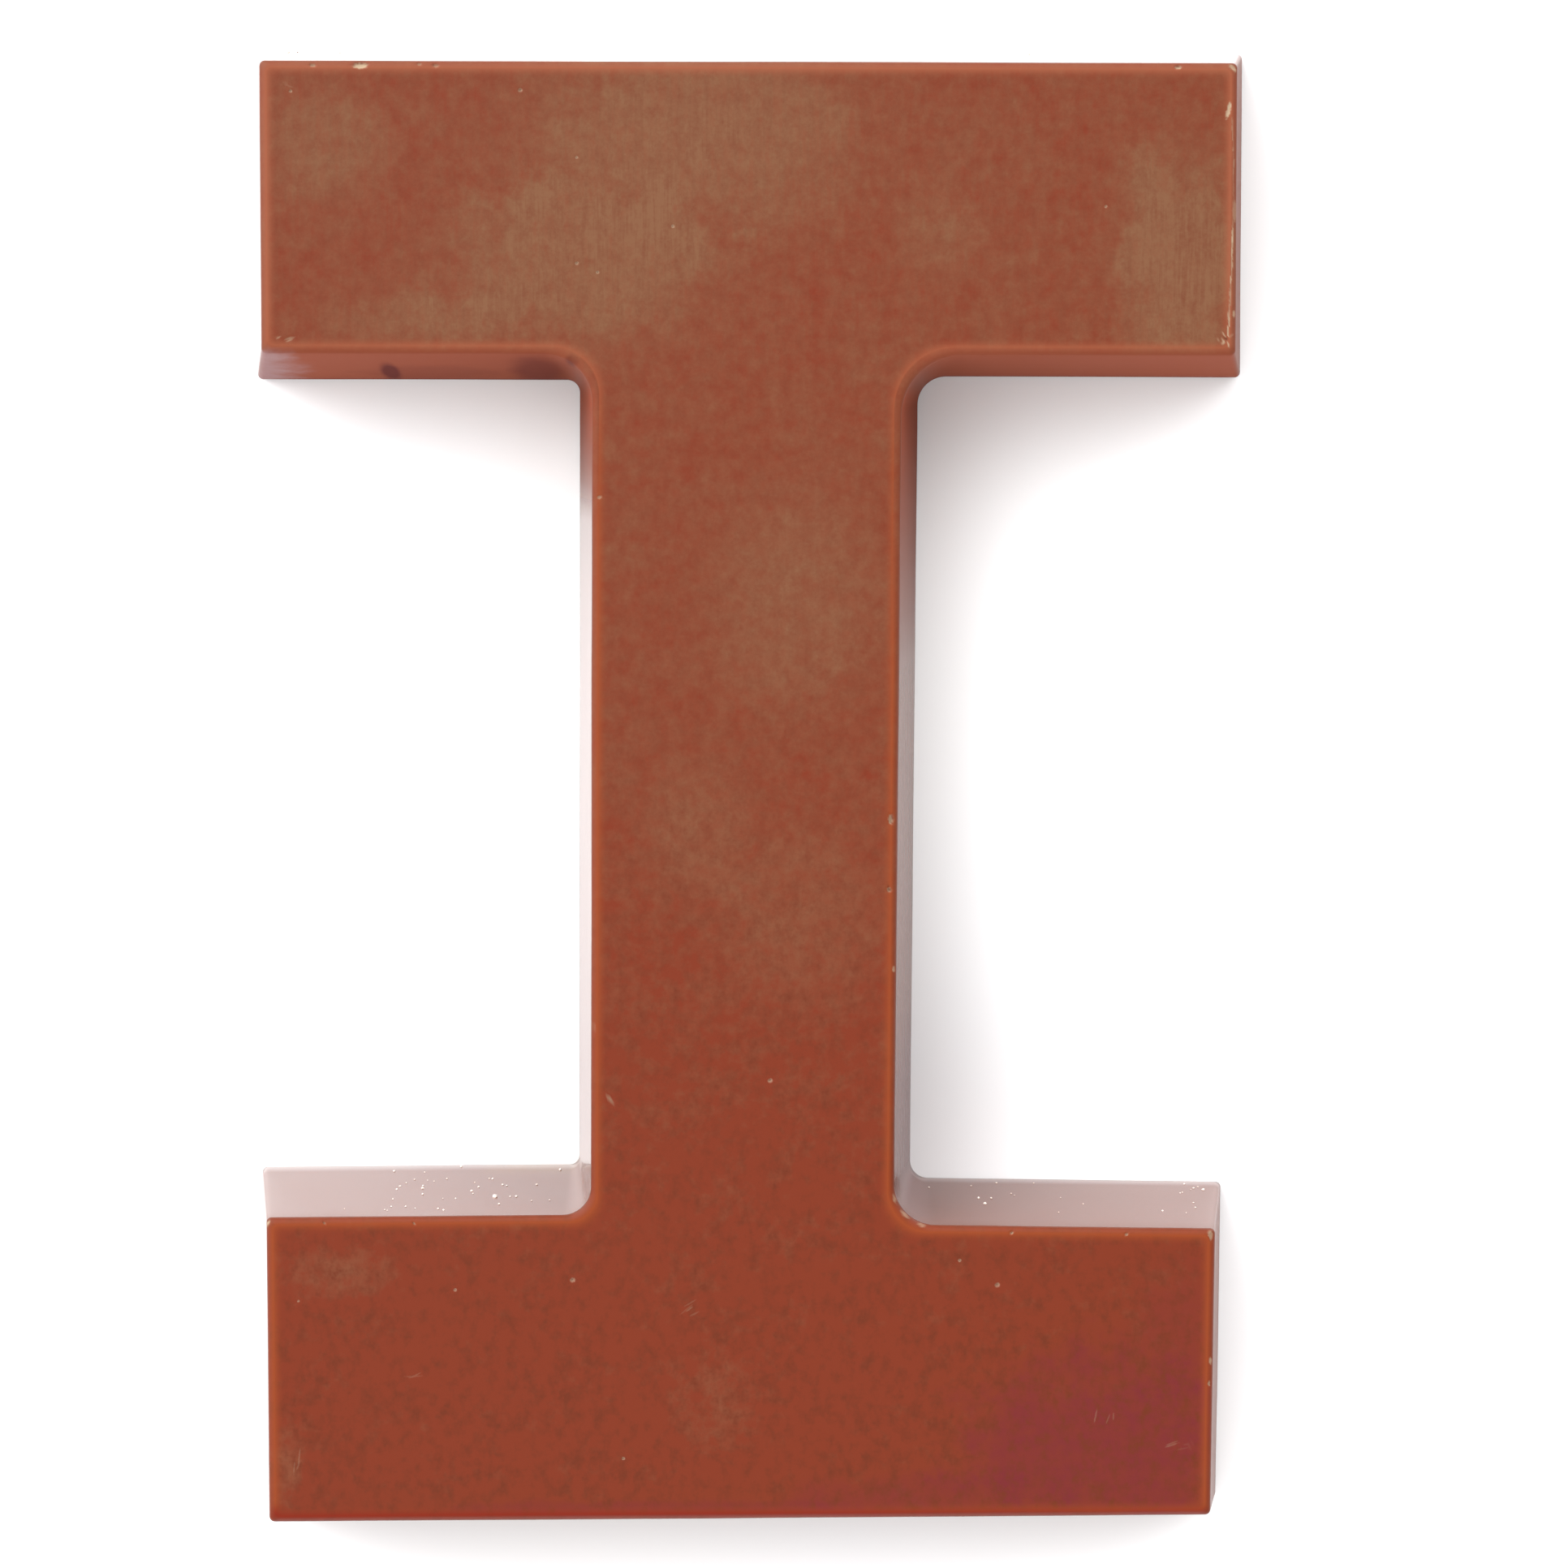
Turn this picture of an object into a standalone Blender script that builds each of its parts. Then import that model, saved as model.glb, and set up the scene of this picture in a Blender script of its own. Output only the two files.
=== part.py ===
"""A moulded milk chocolate letter: a slab-serif capital I, solid chocolate in one piece.

It lies on its flat poured back with the moulded face up. +X runs to the letter's right, +Y to its
top and +Z out of its face. The origin is the middle of the back.
"""

import math
from dataclasses import dataclass

import bmesh
import bpy
from mathutils import Vector

MM = 0.001

# The face, measured between the sharp edges that it would have without its rounding
FACE_HEIGHT = 100.0 * MM
HEAD_WIDTH = 66.2 * MM
FOOT_LEFT_REACH = 33.25 * MM
FOOT_RIGHT_REACH = 32.4 * MM
STEM_LEFT_REACH = 10.75 * MM
STEM_RIGHT_REACH = 10.2 * MM

# How deep each arm of the two slabs is, from the outer edge to the edge that meets the stem
HEAD_DEPTH = 19.65 * MM
FOOT_LEFT_DEPTH = 21.35 * MM
FOOT_RIGHT_DEPTH = 20.7 * MM

# How far sides stray from square, in degrees anticlockwise: the foot's arms taper to their ends
BOTTOM_TILT = 0.5
FOOT_LEFT_ARM_TILT = 0.6
FOOT_RIGHT_ARM_TILT = -0.65
FOOT_LEFT_END_TILT = 0.15
FOOT_RIGHT_END_TILT = -0.35
HEAD_RIGHT_END_TILT = 0.2
STEM_LEFT_TILT = -0.15
STEM_RIGHT_TILT = -0.3

# The block: its thickness, and how far each wall leans out from the face to the back
THICKNESS = 12.0 * MM
OUTER_LEAN = 1.6 * MM
STEM_LEFT_LEAN = 1.35 * MM
STEM_RIGHT_LEAN = 1.55 * MM
LEFT_ARM_LEAN = 1.75 * MM
RIGHT_ARM_LEAN = 1.45 * MM

# Roundings in section, along the edge of the face and along the edge of the back
FACE_EDGE_RADIUS = 0.5 * MM
BACK_EDGE_RADIUS = 0.35 * MM
FACE_EDGE_STEPS = 6
BACK_EDGE_STEPS = 3

# Roundings in plan: the outer corners, and the four inner corners at the face and at the back
OUTER_CORNER_RADIUS = 0.4 * MM
OUTER_CORNER_STEPS = 3
INNER_CORNER_STEPS = 7
HEAD_RIGHT_INNER_RADII = (4.2 * MM, 1.9 * MM)
HEAD_LEFT_INNER_RADII = (3.3 * MM, 0.8 * MM)
FOOT_LEFT_INNER_RADII = (2.0 * MM, 0.6 * MM)
FOOT_RIGHT_INNER_RADII = (2.9 * MM, 1.2 * MM)

# Directions that the sides of the outline face, in degrees from +X
RIGHT, UP, LEFT, DOWN = 0.0, 90.0, 180.0, 270.0
QUARTER_TURN = 90.0

SOFT_EDGE_LIMIT = math.radians(35.0)


def direction(degrees):
    angle = math.radians(degrees)
    return Vector((math.cos(angle), math.sin(angle)))


@dataclass(frozen=True)
class Level:
    """One step of the wall's section: its height, and how far out the outer walls stand there."""

    lean: float
    height: float

    def depth(self):
        """0 at the face and 1 at the back."""
        return 1.0 - self.height / THICKNESS


@dataclass(frozen=True)
class Side:
    """One straight side: the way it faces, its distance from the letter's middle, and its wall's lean."""

    facing: float
    distance: float
    lean: float = OUTER_LEAN

    def distance_at(self, level):
        return self.distance + level.lean + (self.lean - OUTER_LEAN) * level.depth()


@dataclass(frozen=True)
class Corner:
    """The corner between a side and the next one, with its radius at the face and at the back."""

    before: Side
    after: Side
    face_radius: float
    back_radius: float
    steps: int

    def crossing(self, before_distance, after_distance):
        """Where the two sides cross if they stand at these distances from the letter's middle."""
        first, second = direction(self.before.facing), direction(self.after.facing)
        along_first = Vector((first.y, -first.x))
        along_second = Vector((second.y, -second.x))
        across = along_second * before_distance - along_first * after_distance
        return across / (first.x * second.y - first.y * second.x)

    def arc(self, level):
        """The corner's points at one level of the wall, anticlockwise round the letter."""
        turn = (self.after.facing - self.before.facing + 180.0) % 360.0 - 180.0
        radius = self.face_radius + (self.back_radius - self.face_radius) * level.depth()
        bulge = math.copysign(radius, turn)
        centre = self.crossing(
            self.before.distance_at(level) - bulge, self.after.distance_at(level) - bulge
        )
        angles = [self.before.facing + turn * step / self.steps for step in range(self.steps + 1)]
        return [centre + direction(angle) * bulge for angle in angles]


def letter_corners():
    """The twelve corners of the capital I, anticlockwise from the right-hand corner of its foot."""
    end = FACE_HEIGHT / 2
    round_outer = (OUTER_CORNER_RADIUS, OUTER_CORNER_RADIUS, OUTER_CORNER_STEPS)
    sides = [
        (Side(DOWN + BOTTOM_TILT, end), round_outer),
        (Side(RIGHT + FOOT_RIGHT_END_TILT, FOOT_RIGHT_REACH), round_outer),
        (
            Side(UP + FOOT_RIGHT_ARM_TILT, FOOT_RIGHT_DEPTH - end, RIGHT_ARM_LEAN),
            (*FOOT_RIGHT_INNER_RADII, INNER_CORNER_STEPS),
        ),
        (
            Side(RIGHT + STEM_RIGHT_TILT, STEM_RIGHT_REACH, STEM_RIGHT_LEAN),
            (*HEAD_RIGHT_INNER_RADII, INNER_CORNER_STEPS),
        ),
        (Side(DOWN, HEAD_DEPTH - end, RIGHT_ARM_LEAN), round_outer),
        (Side(RIGHT + HEAD_RIGHT_END_TILT, HEAD_WIDTH / 2), round_outer),
        (Side(UP, end), round_outer),
        (Side(LEFT, HEAD_WIDTH / 2), round_outer),
        (
            Side(DOWN, HEAD_DEPTH - end, LEFT_ARM_LEAN),
            (*HEAD_LEFT_INNER_RADII, INNER_CORNER_STEPS),
        ),
        (
            Side(LEFT + STEM_LEFT_TILT, STEM_LEFT_REACH, STEM_LEFT_LEAN),
            (*FOOT_LEFT_INNER_RADII, INNER_CORNER_STEPS),
        ),
        (Side(UP + FOOT_LEFT_ARM_TILT, FOOT_LEFT_DEPTH - end, LEFT_ARM_LEAN), round_outer),
        (Side(LEFT + FOOT_LEFT_END_TILT, FOOT_LEFT_REACH), round_outer),
    ]
    following = sides[1:] + sides[:1]
    return [Corner(side, after, *shape) for (side, shape), (after, _) in zip(sides, following)]


def rounded(corner, radius, start, turn, steps):
    """Levels along an arc in section that rounds a sharp `corner`, given as (lean, height).

    `start` is the direction that the surface faces where the arc begins and `turn` how far it turns,
    both in degrees.
    """
    facing = direction(start)
    tangent_length = radius * math.tan(math.radians(abs(turn)) / 2)
    centre = Vector(corner) + Vector((facing.y, -facing.x)) * tangent_length - facing * radius
    angles = [start + turn * step / steps for step in range(steps + 1)]
    return [Level(*(centre + direction(angle) * radius)) for angle in angles]


def wall_section():
    """The levels of the outer walls from the back up to the face."""
    wall_facing = math.degrees(math.atan2(OUTER_LEAN, THICKNESS))
    back = rounded(
        (OUTER_LEAN, 0.0), BACK_EDGE_RADIUS, -QUARTER_TURN, QUARTER_TURN + wall_facing, BACK_EDGE_STEPS
    )
    face = rounded(
        (0.0, THICKNESS), FACE_EDGE_RADIUS, wall_facing, QUARTER_TURN - wall_facing, FACE_EDGE_STEPS
    )
    return back + face


def middle_of(points):
    """The middle of the rectangle round these points."""
    across, along = [point.x for point in points], [point.y for point in points]
    return Vector(((min(across) + max(across)) / 2, (min(along) + max(along)) / 2))


def build_letter():
    """The solid: one ring of points for each level of the wall, capped by the back and the face."""
    corners = letter_corners()
    rings = [
        (level.height, [point for corner in corners for point in corner.arc(level)])
        for level in wall_section()
    ]
    middle = middle_of([point for _, ring in rings for point in ring])
    mesh = bmesh.new()
    loops = [
        [mesh.verts.new((*(point - middle), height)) for point in ring] for height, ring in rings
    ]
    for lower, upper in zip(loops, loops[1:]):
        for here in range(len(lower)):
            following = (here + 1) % len(lower)
            mesh.faces.new((lower[here], lower[following], upper[following], upper[here]))
    mesh.faces.new(reversed(loops[0]))
    mesh.faces.new(loops[-1])

    data = bpy.data.meshes.new("letter")
    mesh.to_mesh(data)
    mesh.free()
    data.shade_smooth()
    data.set_sharp_from_angle(angle=SOFT_EDGE_LIMIT)
    letter = bpy.data.objects.new("letter", data)
    bpy.context.scene.collection.objects.link(letter)
    return letter


def milk_chocolate():
    """Warm milk chocolate with the satin gloss of a smooth mould."""
    material = bpy.data.materials.new("milk_chocolate")
    material.use_nodes = True
    shader = material.node_tree.nodes["Principled BSDF"]
    shader.inputs["Base Color"].default_value = (0.270, 0.072, 0.041, 1.0)
    shader.inputs["Roughness"].default_value = 0.38
    shader.inputs["Metallic"].default_value = 0.0
    return material


def main():
    for existing in list(bpy.data.objects):
        bpy.data.objects.remove(existing, do_unlink=True)
    letter = build_letter()
    letter.data.materials.append(milk_chocolate())


main()
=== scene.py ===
"""A moulded milk chocolate letter, a slab-serif capital I, lying on its back on a pale table.

The letter is one solid piece of chocolate. Its mesh here follows the block that it is cast as, side
for side and level for level, and adds what a mould and some handling leave on it: a slight waver of
the walls, chips along the edges of the face, burst bubbles, scratches and crumbs that cling to it.
Lengths are in millimetres wherever a name ends in _mm, and in metres otherwise.
"""

from __future__ import annotations

import logging
import math
import operator
import random
from collections.abc import Iterable, Iterator, Sequence
from dataclasses import asdict, dataclass, field
from enum import Enum
from functools import reduce
from typing import Any

import bpy
import numpy as np
from mathutils import Matrix, Vector, geometry, noise


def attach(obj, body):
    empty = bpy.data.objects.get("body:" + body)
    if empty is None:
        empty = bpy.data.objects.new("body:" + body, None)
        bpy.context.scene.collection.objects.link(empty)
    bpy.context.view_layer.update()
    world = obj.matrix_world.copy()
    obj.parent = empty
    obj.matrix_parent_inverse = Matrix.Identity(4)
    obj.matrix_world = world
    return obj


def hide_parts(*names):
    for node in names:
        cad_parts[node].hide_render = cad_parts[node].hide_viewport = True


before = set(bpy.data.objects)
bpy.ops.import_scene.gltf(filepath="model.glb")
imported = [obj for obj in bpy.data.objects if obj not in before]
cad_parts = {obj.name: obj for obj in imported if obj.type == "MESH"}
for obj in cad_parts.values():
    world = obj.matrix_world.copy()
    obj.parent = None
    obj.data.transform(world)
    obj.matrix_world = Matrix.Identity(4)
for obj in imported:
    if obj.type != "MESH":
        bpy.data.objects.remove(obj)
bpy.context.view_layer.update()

LOG = logging.getLogger("chocolate_letter")
MM = 0.001
QUARTER_TURN = 90.0
NOISE_MIDDLE = 0.5
Triple = tuple[float, float, float]
Colour = Triple
OUT_OF_FACE: Triple = (0.0, 0.0, 1.0)


class Facing(Enum):
    """The ways that the sides of the outline face, in degrees from +X."""

    RIGHT = 0.0
    UP = 90.0
    LEFT = 180.0
    DOWN = 270.0


class Zone(Enum):
    """Parts of the surface, each with its own point attribute of 0 to 1 for the shader."""

    WALL = "wall"
    EDGE = "edge"
    BACK = "back"
    SCUFF = "scuff"
    SHELTERED = "sheltered"
    GLOSSY = "glossy"


def direction(degrees: float) -> np.ndarray:
    """The unit vector in plan at this angle from +X."""
    angle = math.radians(degrees)
    return np.array([math.cos(angle), math.sin(angle)])


def new_object(
    name: str, points: Iterable[Sequence[float]], faces: Sequence[tuple[int, ...]]
) -> bpy.types.Object:
    """Makes an object and puts it in the scene.

    Args:
        name: its name and its mesh's.
        points: its points, in metres.
        faces: its faces, by the numbers of their points.

    Returns:
        The object.
    """
    mesh = bpy.data.meshes.new(name)
    mesh.from_pydata(list(points), [], faces)
    mesh.validate()
    made = bpy.data.objects.new(name, mesh)
    bpy.context.scene.collection.objects.link(made)
    return made


@dataclass(frozen=True)
class Level:
    """One step of the wall's section: how far out the outer walls stand, and the height."""

    lean_mm: float
    height_mm: float


@dataclass(frozen=True)
class Side:
    """One straight side: the way it faces, its distance from the letter's middle, its wall's lean."""

    facing: float
    distance_mm: float
    lean_mm: float


@dataclass(frozen=True)
class Corner:
    """The corner between a side and the next one, with its radius at the face and at the back."""

    before: Side
    after: Side
    face_radius_mm: float
    back_radius_mm: float
    steps: int

    def crossing(self, before_mm: float, after_mm: float) -> np.ndarray:
        """Where the two sides cross.

        Args:
            before_mm: the first side's distance from the letter's middle.
            after_mm: the second side's distance.

        Returns:
            The crossing point in plan.
        """
        first, second = direction(self.before.facing), direction(self.after.facing)
        along_first = np.array([first[1], -first[0]])
        along_second = np.array([second[1], -second[0]])
        across = along_second * before_mm - along_first * after_mm
        return across / (first[0] * second[1] - first[1] * second[0])

    def arc(self, before_mm: float, after_mm: float, depth: float) -> np.ndarray:
        """The corner's points at one level, anticlockwise round the letter.

        Args:
            before_mm: the first side's distance from the letter's middle at this level.
            after_mm: the second side's distance there.
            depth: 0 at the face and 1 at the back.

        Returns:
            One row of x and y for each step of the arc.
        """
        turn = (self.after.facing - self.before.facing + 180.0) % 360.0 - 180.0
        radius = self.face_radius_mm + (self.back_radius_mm - self.face_radius_mm) * depth
        bulge = math.copysign(radius, turn)
        centre = self.crossing(before_mm - bulge, after_mm - bulge)
        angles = [self.before.facing + turn * step / self.steps for step in range(self.steps + 1)]
        return np.array([centre + direction(angle) * bulge for angle in angles])


@dataclass(frozen=True)
class Block:
    """The block that the letter is cast as, with the sizes that its solid has."""

    face_height_mm: float = 100.0
    head_width_mm: float = 66.2
    foot_left_reach_mm: float = 33.25
    foot_right_reach_mm: float = 32.4
    stem_left_reach_mm: float = 10.75
    stem_right_reach_mm: float = 10.2
    head_depth_mm: float = 19.65
    foot_left_depth_mm: float = 21.35
    foot_right_depth_mm: float = 20.7
    bottom_tilt: float = 0.5
    foot_left_arm_tilt: float = 0.6
    foot_right_arm_tilt: float = -0.65
    foot_left_end_tilt: float = 0.15
    foot_right_end_tilt: float = -0.35
    head_right_end_tilt: float = 0.2
    stem_left_tilt: float = -0.15
    stem_right_tilt: float = -0.3
    thickness_mm: float = 12.0
    outer_lean_mm: float = 1.6
    stem_left_lean_mm: float = 1.35
    stem_right_lean_mm: float = 1.55
    left_arm_lean_mm: float = 1.75
    right_arm_lean_mm: float = 1.45
    face_edge_radius_mm: float = 0.5
    back_edge_radius_mm: float = 0.35
    outer_corner_radius_mm: float = 0.4
    head_right_inner_radii_mm: tuple[float, float] = (4.2, 1.9)
    head_left_inner_radii_mm: tuple[float, float] = (3.3, 0.8)
    foot_left_inner_radii_mm: tuple[float, float] = (2.0, 0.6)
    foot_right_inner_radii_mm: tuple[float, float] = (2.9, 1.2)
    outer_corner_steps: int = 6
    inner_corner_steps: int = 18
    back_edge_steps: int = 3
    face_edge_steps: int = 10
    wall_steps: int = 9
    face_insets_mm: tuple[float, ...] = (0.09, 0.18, 0.28, 0.40, 0.54, 0.70, 0.90, 1.20)

    def corners(self) -> list[Corner]:
        """The twelve corners of the capital I.

        Returns:
            The corners, anticlockwise from the foot's right-hand corner.
        """
        end, outer, inner = self.face_height_mm / 2, self.outer_lean_mm, self.inner_corner_steps
        rounding = (self.outer_corner_radius_mm, self.outer_corner_radius_mm, self.outer_corner_steps)
        head, head_end = self.head_depth_mm - end, self.head_width_mm / 2
        foot_right, foot_left = self.foot_right_depth_mm - end, self.foot_left_depth_mm - end
        right_arm, left_arm = self.right_arm_lean_mm, self.left_arm_lean_mm
        right, up, left, down = (facing.value for facing in Facing)
        rows = (
            (down + self.bottom_tilt, end, outer, rounding),
            (right + self.foot_right_end_tilt, self.foot_right_reach_mm, outer, rounding),
            (up + self.foot_right_arm_tilt, foot_right, right_arm, (*self.foot_right_inner_radii_mm, inner)),
            (
                right + self.stem_right_tilt,
                self.stem_right_reach_mm,
                self.stem_right_lean_mm,
                (*self.head_right_inner_radii_mm, inner),
            ),
            (down, head, right_arm, rounding),
            (right + self.head_right_end_tilt, head_end, outer, rounding),
            (up, end, outer, rounding),
            (left, head_end, outer, rounding),
            (down, head, left_arm, (*self.head_left_inner_radii_mm, inner)),
            (
                left + self.stem_left_tilt,
                self.stem_left_reach_mm,
                self.stem_left_lean_mm,
                (*self.foot_left_inner_radii_mm, inner),
            ),
            (up + self.foot_left_arm_tilt, foot_left, left_arm, rounding),
            (left + self.foot_left_end_tilt, self.foot_left_reach_mm, outer, rounding),
        )
        sides = [Side(*row[:3]) for row in rows]
        following = sides[1:] + sides[:1]
        return [Corner(side, after, *row[3]) for side, after, row in zip(sides, following, rows)]

    def rounded(
        self, corner: tuple[float, float], radius: float, start: float, turn: float, steps: int
    ) -> list[Level]:
        """Levels along an arc in section.

        Args:
            corner: the sharp corner that the arc rounds, as lean and height.
            radius: the arc's radius.
            start: the direction that the surface faces where the arc begins, in degrees.
            turn: how far the arc turns, in degrees.
            steps: how many pieces the arc is cut into.

        Returns:
            The levels, in order.
        """
        facing = direction(start)
        tangent = radius * math.tan(math.radians(abs(turn)) / 2)
        centre = np.array(corner) + np.array([facing[1], -facing[0]]) * tangent - facing * radius
        angles = [start + turn * step / steps for step in range(steps + 1)]
        return [Level(*(centre + direction(angle) * radius)) for angle in angles]

    def section(self) -> list[Level]:
        """The section of the outer walls.

        Returns:
            The levels from the back up to the face.
        """
        thick = self.thickness_mm
        facing = math.degrees(math.atan2(self.outer_lean_mm, thick))
        back = self.rounded(
            (self.outer_lean_mm, 0.0),
            self.back_edge_radius_mm,
            -QUARTER_TURN,
            QUARTER_TURN + facing,
            self.back_edge_steps,
        )
        face = self.rounded(
            (0.0, thick),
            self.face_edge_radius_mm,
            facing,
            QUARTER_TURN - facing,
            self.face_edge_steps,
        )
        low, high = back[-1], face[0]
        shares = [step / self.wall_steps for step in range(1, self.wall_steps)]
        wall = [
            Level(
                low.lean_mm + (high.lean_mm - low.lean_mm) * share,
                low.height_mm + (high.height_mm - low.height_mm) * share,
            )
            for share in shares
        ]
        return back + wall + face

    def face_levels(self) -> list[Level]:
        """Steps across the flat face, inwards from its rounded edge."""
        rim = self.section()[-1]
        return [Level(rim.lean_mm - inset, rim.height_mm) for inset in self.face_insets_mm]

    def depth(self, level: Level) -> float:
        """0 at the face and 1 at the back."""
        return 1.0 - level.height_mm / self.thickness_mm

    def side_distance(self, side: Side, level: Level) -> float:
        """How far from the letter's middle a side stands at a level."""
        return side.distance_mm + level.lean_mm + (side.lean_mm - self.outer_lean_mm) * self.depth(level)

    def arcs(self, level: Level) -> list[np.ndarray]:
        """Every corner's arc at a level, before the letter is centred.

        Args:
            level: the level.

        Returns:
            One arc for each corner, as rows of x and y.
        """
        return [
            corner.arc(
                self.side_distance(corner.before, level),
                self.side_distance(corner.after, level),
                self.depth(level),
            )
            for corner in self.corners()
        ]

    def middle(self) -> np.ndarray:
        """The middle of the rectangle round the whole block, which the letter is centred on."""
        points = np.concatenate([arc for level in self.section() for arc in self.arcs(level)])
        return (points.min(0) + points.max(0)) / 2


@dataclass(frozen=True)
class Mark:
    """A small hollow cut into the surface, an ellipse of these half sizes round a point.

    The hollow opens along `facing`, and its long side lies along `along`.
    """

    centre_mm: Triple
    facing: Triple
    along: Triple
    half_length_mm: float
    half_width_mm: float
    depth_mm: float
    pale: float

    def axes(self) -> tuple[np.ndarray, np.ndarray, np.ndarray]:
        """The hollow's own directions.

        Returns:
            The unit vectors along it, across it and out of the surface.
        """
        out = np.array(self.facing) / np.linalg.norm(self.facing)
        along = np.array(self.along) - out * np.dot(self.along, out)
        along /= np.linalg.norm(along)
        return along, np.cross(out, along), out


@dataclass(frozen=True)
class Handling:
    """The chips, burst bubbles and scratches of the letter, by their places on its face.

    Places are x and y on the face from the letter's middle, as they are on the real thing. A bubble's
    row goes on with its radius, a chip's with its half length, the way it faces in degrees and how
    pale it is, and a rubbed place's with its grooves' direction in degrees and their number. A nick's
    has its directions, its half sizes, its depth and how pale it is.
    """

    block: Block
    seed: int = 11
    bubbles_mm: tuple[Triple, ...] = (
        (-15.4, 48.2, 0.12),
        (-30.9, 48.1, 0.10),
        (-11.6, 36.6, 0.11),
        (-10.2, 36.0, 0.10),
        (-31.1, 31.43, 0.15),
        (-31.8, 31.6, 0.10),
        (-11.6, 43.7, 0.09),
        (-5.1, 39.1, 0.10),
        (24.2, 40.5, 0.09),
        (-12.0, -33.1, 0.15),
        (17.3, -33.4, 0.15),
        (-20.1, -33.8, 0.10),
        (-9.4, -20.5, 0.19),
        (1.6, -19.2, 0.14),
        (14.7, -31.7, 0.10),
        (-10.1, 20.8, 0.12),
        (-8.5, -45.6, 0.10),
        (-30.9, -34.6, 0.08),
    )
    chips_mm: tuple[tuple[float, float, float, float, float], ...] = (
        (-29.4, 49.9, 0.20, 90.0, 0.55),
        (-26.2, 49.9, 0.50, 90.0, 1.00),
        (-22.2, 50.0, 0.16, 90.0, 0.35),
        (-21.1, 49.9, 0.20, 90.0, 0.40),
        (29.0, 49.9, 0.22, 90.0, 0.85),
        (32.8, 49.9, 0.34, 45.0, 0.75),
        (33.1, 40.2, 0.80, 0.0, 0.35),
        (33.1, 33.3, 0.26, 0.0, 0.60),
        (9.9, -1.2, 0.34, 0.0, 0.70),
        (9.8, -6.0, 0.20, 0.0, 0.50),
        (10.2, -11.5, 0.22, 0.0, 0.50),
        (32.1, -29.9, 0.34, 0.0, 0.70),
        (32.2, -38.7, 0.26, 0.0, 0.60),
        (32.1, -40.3, 0.18, 0.0, 0.60),
        (10.35, -27.4, 0.30, 20.0, 0.45),
        (11.0, -28.4, 0.34, 45.0, 0.50),
        (12.1, -29.1, 0.30, 70.0, 0.40),
        (-33.1, -29.1, 0.24, 135.0, 0.90),
        (-22.9, -29.1, 0.08, 90.0, 0.60),
        (-29.1, -29.1, 0.08, 90.0, 0.50),
        (18.3, -29.7, 0.09, 90.0, 0.80),
        (26.2, -29.8, 0.10, 90.0, 0.70),
    )
    nicks_mm: tuple[tuple[tuple[float, float], Triple, Triple, tuple[float, ...]], ...] = (
        ((32.45, 47.0), (0.1, 0, 1), (0.18, 1, 0), (0.62, 0.14, 0.07, 1.0)),
        ((-10.62, -15.5), (-0.5, 0, 1), (0, 1, 0), (0.36, 0.26, 0.22, 0.1)),
    )
    bubble_along: Triple = (1, 0.4, 0)
    bubble_scale: float = 1.25
    bubble_narrowing: float = 0.85
    bubble_depth: float = 0.7
    bubble_pale: float = 0.45
    chip_drop: float = 0.2
    chip_rise: float = 1.2
    longest_chip_mm: float = 0.5
    chip_width_mm: tuple[float, float] = (0.05, 0.36)
    chip_depth_mm: tuple[float, float] = (0.02, 0.14)
    groove_spacing_mm: float = 0.45
    faint_above_mm: float = 39.0
    faint_share: float = 0.35
    star_mm: tuple[float, float] = (32.45, 31.6)
    star_reach_mm: float = 0.36
    star_dent_mm: Triple = (0.15, 0.11, 0.14)
    star_crack_mm: Triple = (0.24, 0.06, 0.03)
    star_cracks: tuple[tuple[float, float], ...] = (
        (35.0, 0.3),
        (120.0, 0.5),
        (190.0, 0.5),
        (235.0, 0.7),
        (290.0, 0.7),
    )
    edge_scratch_mm: tuple[tuple[float, float], ...] = (
        (32.70, 46.2),
        (32.85, 43.4),
        (32.84, 40.2),
        (32.78, 37.0),
        (32.66, 33.7),
        (32.50, 31.6),
    )
    scratch_facing: Triple = (0.25, 0, 1)
    scratch_sink_mm: float = 0.03
    scratch_sway_mm: float = 0.03
    scratch_skew_mm: float = 0.2
    scratch_length_mm: tuple[float, float] = (0.30, 0.42)
    scratch_width_mm: tuple[float, float] = (0.05, 0.08)
    scratch_width_shares: tuple[float, float] = (0.7, 0.3)
    scratch_depth_mm: tuple[float, float] = (0.03, 0.05)
    scratch_pale: tuple[float, ...] = (0.4, 0.6, 0.8, 1.0)
    rubbed_mm: tuple[tuple[float, float, float, int], ...] = (
        (-31.5, 48.4, -28.0, 2),
        (-23.6, -39.4, 12.0, 3),
        (-3.9, -35.0, 35.0, 4),
        (29.9, -44.4, 20.0, 4),
        (24.6, -42.6, 75.0, 3),
        (-31.6, -46.0, 80.0, 5),
    )
    rub_turn: float = 14.0
    rub_spread_mm: tuple[float, float] = (0.8, 0.5)
    rub_length_mm: tuple[float, float] = (0.3, 0.8)
    rub_width_mm: tuple[float, float] = (0.05, 0.07)
    rub_depth_mm: tuple[float, float] = (0.012, 0.022)
    rub_pale: tuple[float, float] = (0.05, 0.14)

    def on_face(self, x: float, y: float) -> Triple:
        """A place on the face."""
        return x, y, self.block.thickness_mm

    def bubbles(self) -> Iterator[Mark]:
        """The burst bubbles: small round pits in the face.

        Returns:
            Their marks, one by one.
        """
        for x, y, radius in self.bubbles_mm:
            size = radius * self.bubble_scale
            sizes = size, size * self.bubble_narrowing, size * self.bubble_depth
            yield Mark(self.on_face(x, y), OUT_OF_FACE, self.bubble_along, *sizes, self.bubble_pale)

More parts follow.
